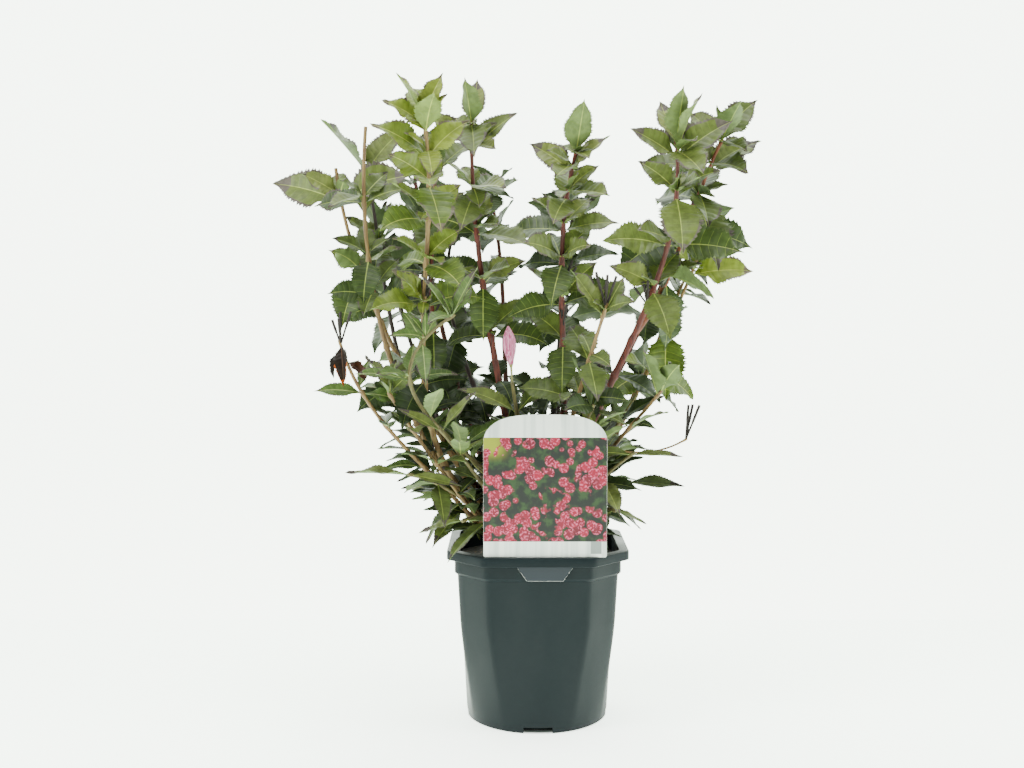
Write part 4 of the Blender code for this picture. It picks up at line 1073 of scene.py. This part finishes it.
def paintPalette(name, palette):    # in the order of a leaf's slots
    paints = [leafPaint(name + kind.title(), palette[kind], roughness) for kind, roughness in (
        ("rib", 0.5), ("vein", 0.5), ("under", 0.7), ("blush", 0.5))]
    return paints + [leafPaint(name + "Blade" + str(order), tone, 0.42)
                     for order, tone in enumerate(palette["tones"])]


def growAll():    # the leaves, twigs and stalks of every shoot, and the leaves and tufts inside
    room = Room()
    for name in ("pot", "soil", "label", "stem_base"):
        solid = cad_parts[name].data
        room.add(name, [vertex.co.copy() for vertex in solid.vertices],
                 [tuple(face.vertices) for face in solid.polygons])
    left, right = (labelSizes["middle"] + side * labelSizes["width"] / 2 for side in (-1, 1))
    near, far = labelSizes["y"] - 0.001, labelSizes["y"] - 0.06
    front = [[Vector((*place, height)) for place in ((left, near), (right, near), (right, far),
                                                     (left, far))]
             for height in (rimTop, labelSizes["top"])]    # the room in front of the label
    room.add("labelFront", *skin(front))
    for each in shoots.values():
        path, guard = paths[each["name"]], growth["guard"]
        room.add(each["name"], *skin(tube(path, ringShares(path, 0, each["nodes"]),
                                          girthAt(each, 0) + guard, girthAt(each, 1) + guard, 6)))
    grown = {each["name"]: growShoot(room, each) for each in shoots.values()}
    return grown, {each["name"]: growMore(room, each) for each in shoots.values()}


# One piece of many leaves: each lot has a shoot's name and some of its leaf forms
def makeLeafPiece(name, lots, paints, nodes=()):
    shape = Shape()
    for owner, forms in lots:
        draw = random.Random(owner + name)
        for form in forms:
            young = (form["age"] < 0.04) + (form["age"] < 0.09)
            addLeaf(shape, form, draw, min(young, round(draw.random() * 0.9 + young * 0.6)))
    finishPiece(newPiece(name, shape, paints, 35), "foliage", *nodes)
    print(name, sum(len(forms) for owner, forms in lots), "leaves")


def makeLeaves(grown, inner):
    for name, palette in palettes.items():
        paints = paintPalette(name, palette)
        mine = [each["name"] for each in shoots.values() if each["palette"] == name]
        makeLeafPiece("leaves" + name.title(), [(each, grown[each][0]) for each in mine], paints,
                      ["shoot_" + each for each in mine])
        # the leaves inside the crown take the darker colours of painted shade
        if name == "deep":
            makeLeafPiece("leavesInside", [(each, inner[each][1]) for each in inner], paints)
        makeLeafPiece("tufts" + name.title(), [(each, inner[each][0]) for each in mine], paints)


def makeDeadLeaves():
    shape = Shape()
    for order, (share, compass, rise, length, width) in enumerate(deadLeaves):
        form = dict(root=paths["left_dry"].point(share), compass=radians(compass),
                    rise=radians(rise), length=length, width=width, droop=radians(50),
                    fold=radians(38), roll=0.5)
        addLeaf(shape, form, random.Random(order), order == 0, order)
    finishPiece(newPiece("deadLeaves", shape, paintPalette("dead", deadPalette), 35), "foliage")


def lengthen(line, share):
    return Path(line.point(0), line.point(0) + (line.point(1) - line.point(0)) * share)


def makeTwigs(grown):    # leafy stems, side twigs and dry stalks, joined by the colour of the bark
    for bark in barkColours:
        mine = [each for each in shoots.values() if each["bark"] == bark]
        shape = Shape()
        for each in mine:
            path, draw = paths[each["name"]], random.Random(each["name"] + "twig")
            shape.add(*wrap(stemRun(each, max(wood["foot"], each["bare"]), 1, each["nodes"],
                                    wood["leafySides"], draw)))
            for twig in grown[each["name"]][1]:
                shape.add(*wrap(woodTube(
                    twig, 0, 1, lambda place: float(np.interp(place, (0, 1), wood["twigGirths"])),
                    (0.58, 0.97), wood["twigSides"], wood["twigStep"], draw)), 1)
            stalks = [] if each["bud"] else [lengthen(stalk, wood["stalkReach"])
                                             for stalk in grown[each["name"]][2]]
            for share, count, heading in dryClusters.get(each["name"], ()):
                for stalk in range(count):
                    lean = Vector((heading + draw.uniform(-0.4, 0.4), draw.uniform(-0.5, 0.3), 1))
                    foot = path.point(share)
                    stalks.append(Path(foot, foot + lean.normalized() * draw.uniform(0.020, 0.032)))
            if each["name"] == dryTwig["carrier"]:
                twig = Path(path.point(dryTwig["share"]), *dryTwig["way"])
                shape.add(*wrap(woodTube(twig, 0, 1, lambda place: wood["dryGirth"], (0.97,),
                                         wood["twigSides"], wood["step"], draw)))
                foot = twig.point(0.98)
                stalks += [Path(foot, foot + Vector((lean, 0.004 * order, 0.036)))
                           for order, lean in enumerate(dryTwig["leans"])]
            for stalk in stalks:    # each ends in a small knob
                shape.add(*wrap(woodTube(
                    stalk, 0, 1, lambda place: wood["dryGirth"] + wood["knob"] * (place > 0.5), (),
                    wood["twigSides"], wood["stalkStep"], draw)), 2)
        paints = [barks[bark], youngBarks[bark], dryPaint.material]
        finishPiece(newPiece("twigs" + bark.title(), shape, paints, 70), "foliage")


# Flower bud: its length as a share of the solid's, and its profile

budSizes = dict(
    longer=1.13, petals=5, crease=0.10, greenRings=2,
    profile=((0, 0.0009), (0.30, 0.0012), (0.36, 0.0026), (0.45, 0.0038), (0.56, 0.0058),
             (0.66, 0.0070), (0.78, 0.0066), (0.88, 0.0046), (0.96, 0.0022), (1, 0.0008)))
budPaint = Shader("budPink", (176, 112, 138), 0.5, Specular_IOR_Level=0.2)
streaks = budPaint.noise(0.0012, (1, 1, 0.08), 3).between(0.4, 0.6)
budPaint.set("Base Color", budPaint.mix(streaks, (190, 128, 152), (142, 58, 92)))


def makeBud(grown):
    owner = next(each["name"] for each in shoots.values() if each["bud"])
    line = lengthen(grown[owner][2][-1], budSizes["longer"])
    sides = 3 * budSizes["petals"]
    rings = []
    for share, radius in budSizes["profile"]:
        middle = line.point(share)
        creases = [1 - budSizes["crease"], 1, 1] * budSizes["petals"]
        rings.append([middle + (point - middle) * radius * crease
                      for point, crease in zip(tube(line, (share,), 1, 1, sides)[0], creases)])
    points, faces = wrap(rings)
    green = sides * budSizes["greenRings"]
    slots = [0] * green + [1] * (len(faces) - green)
    bud = newPiece("flowerBud", Shape(points, faces, slots),
                   [youngBarks["green"], budPaint.material], 60)
    finishPiece(bud, "foliage")


# Camera, light and floor

# The floor's glow has a painted shadow: dark is its colour under the pot, shade the squared reach
# from the pot's axis over which it brightens.
stageSizes = dict(
    floorSize=6, floorBack=0.38, floorColour=(240, 250, 240), floorGlow=3.0,
    dark=(12.93, 15.56, 12.93), shade=(0.0046, 0.0060), wallSize=16, wall=2.9,
    wallColour=(238, 249, 236), wallGlow=6.5, sky=0.34, skyColour=(0.96, 1.0, 0.97, 1))
lamps = dict(
    leftLight=dict(place=(-1.7, -0.9, 1.5), target=(0, 0, 0.30), size=1.1, power=60),
    rightLight=dict(place=(1.8, -0.4, 1.1), target=(0, 0, 0.25), size=1.1, power=42),
    topLight=dict(place=(0.0, -0.2, 2.3), target=(0, 0, 0.30), size=1.3, power=52))
view = dict(place=(-0.027, -1.341, 0.456), down=4.17, lens=43.95, sensor=36)


def addGlow(plane, name, colour, strength):
    shader = Shader(name, colour, 1.0, Emission_Strength=strength)
    shader.set("Emission Color", screen(colour))
    plane.data.materials.append(shader.material)
    return shader


def makeStage():
    middle = stageSizes["floorBack"] - stageSizes["floorSize"] / 2
    bpy.ops.object.select_all(action="DESELECT")
    bpy.ops.mesh.primitive_plane_add(size=stageSizes["floorSize"], location=(0, middle, -0.0002))
    floor = bpy.context.object
    paint = addGlow(floor, "floorGlowPaintedShadow", stageSizes["floorColour"], stageSizes["floorGlow"])
    across, along = paint.axis("X"), paint.axis("Y") + middle
    away = across * across + along * along    # painted shadow: the glowing floor is dark under the pot and brightens just past its foot
    paint.set("Emission Color", paint.mix(away.between(*stageSizes["shade"]), stageSizes["dark"],
                                          stageSizes["floorColour"]))
    bpy.ops.mesh.primitive_plane_add(size=stageSizes["wallSize"], rotation=(radians(90), 0, 0),
                                     location=(0, stageSizes["wall"], 1.0))
    wall = bpy.context.object
    addGlow(wall, "wallPale", stageSizes["wallColour"], stageSizes["wallGlow"])


def addHolder(name, data, place):
    holder = bpy.data.objects.new(name, data)
    bpy.context.scene.collection.objects.link(holder)
    holder.location = place
    return holder


def makeLight(name, place, target, size, power):
    lamp = bpy.data.lights.new(name, "AREA")
    lamp.shape = "DISK"
    lamp.size = size
    lamp.energy = power
    heading = (Vector(target) - Vector(place)).to_track_quat("-Z", "Y")
    addHolder(name, lamp, place).rotation_euler = heading.to_euler()


def makeSky():
    sky = bpy.data.worlds.new("softSky")
    sky.use_nodes = True
    sockets = sky.node_tree.nodes["Background"].inputs
    sockets["Color"].default_value = stageSizes["skyColour"]
    sockets["Strength"].default_value = stageSizes["sky"]
    bpy.context.scene.world = sky


def makeCamera():
    lens = bpy.data.cameras.new("photoCamera")
    lens.lens = view["lens"]
    lens.sensor_width = view["sensor"]
    camera = addHolder("photoCamera", lens, view["place"])
    camera.rotation_euler = (radians(90 - view["down"]), 0, 0)
    bpy.context.scene.camera = camera


paintLabel()
makePot()
makeSoil()
makeLabel()
print("pot, soil and label done")
makeStemBase()
makeBoughs()
print("stem base and boughs done")
grown, inner = growAll()
makeLeaves(grown, inner)
makeDeadLeaves()
makeTwigs(grown)
makeBud(grown)
print("foliage done")
makeStage()
for name, lamp in lamps.items():
    makeLight(name, **lamp)
makeSky()
makeCamera()
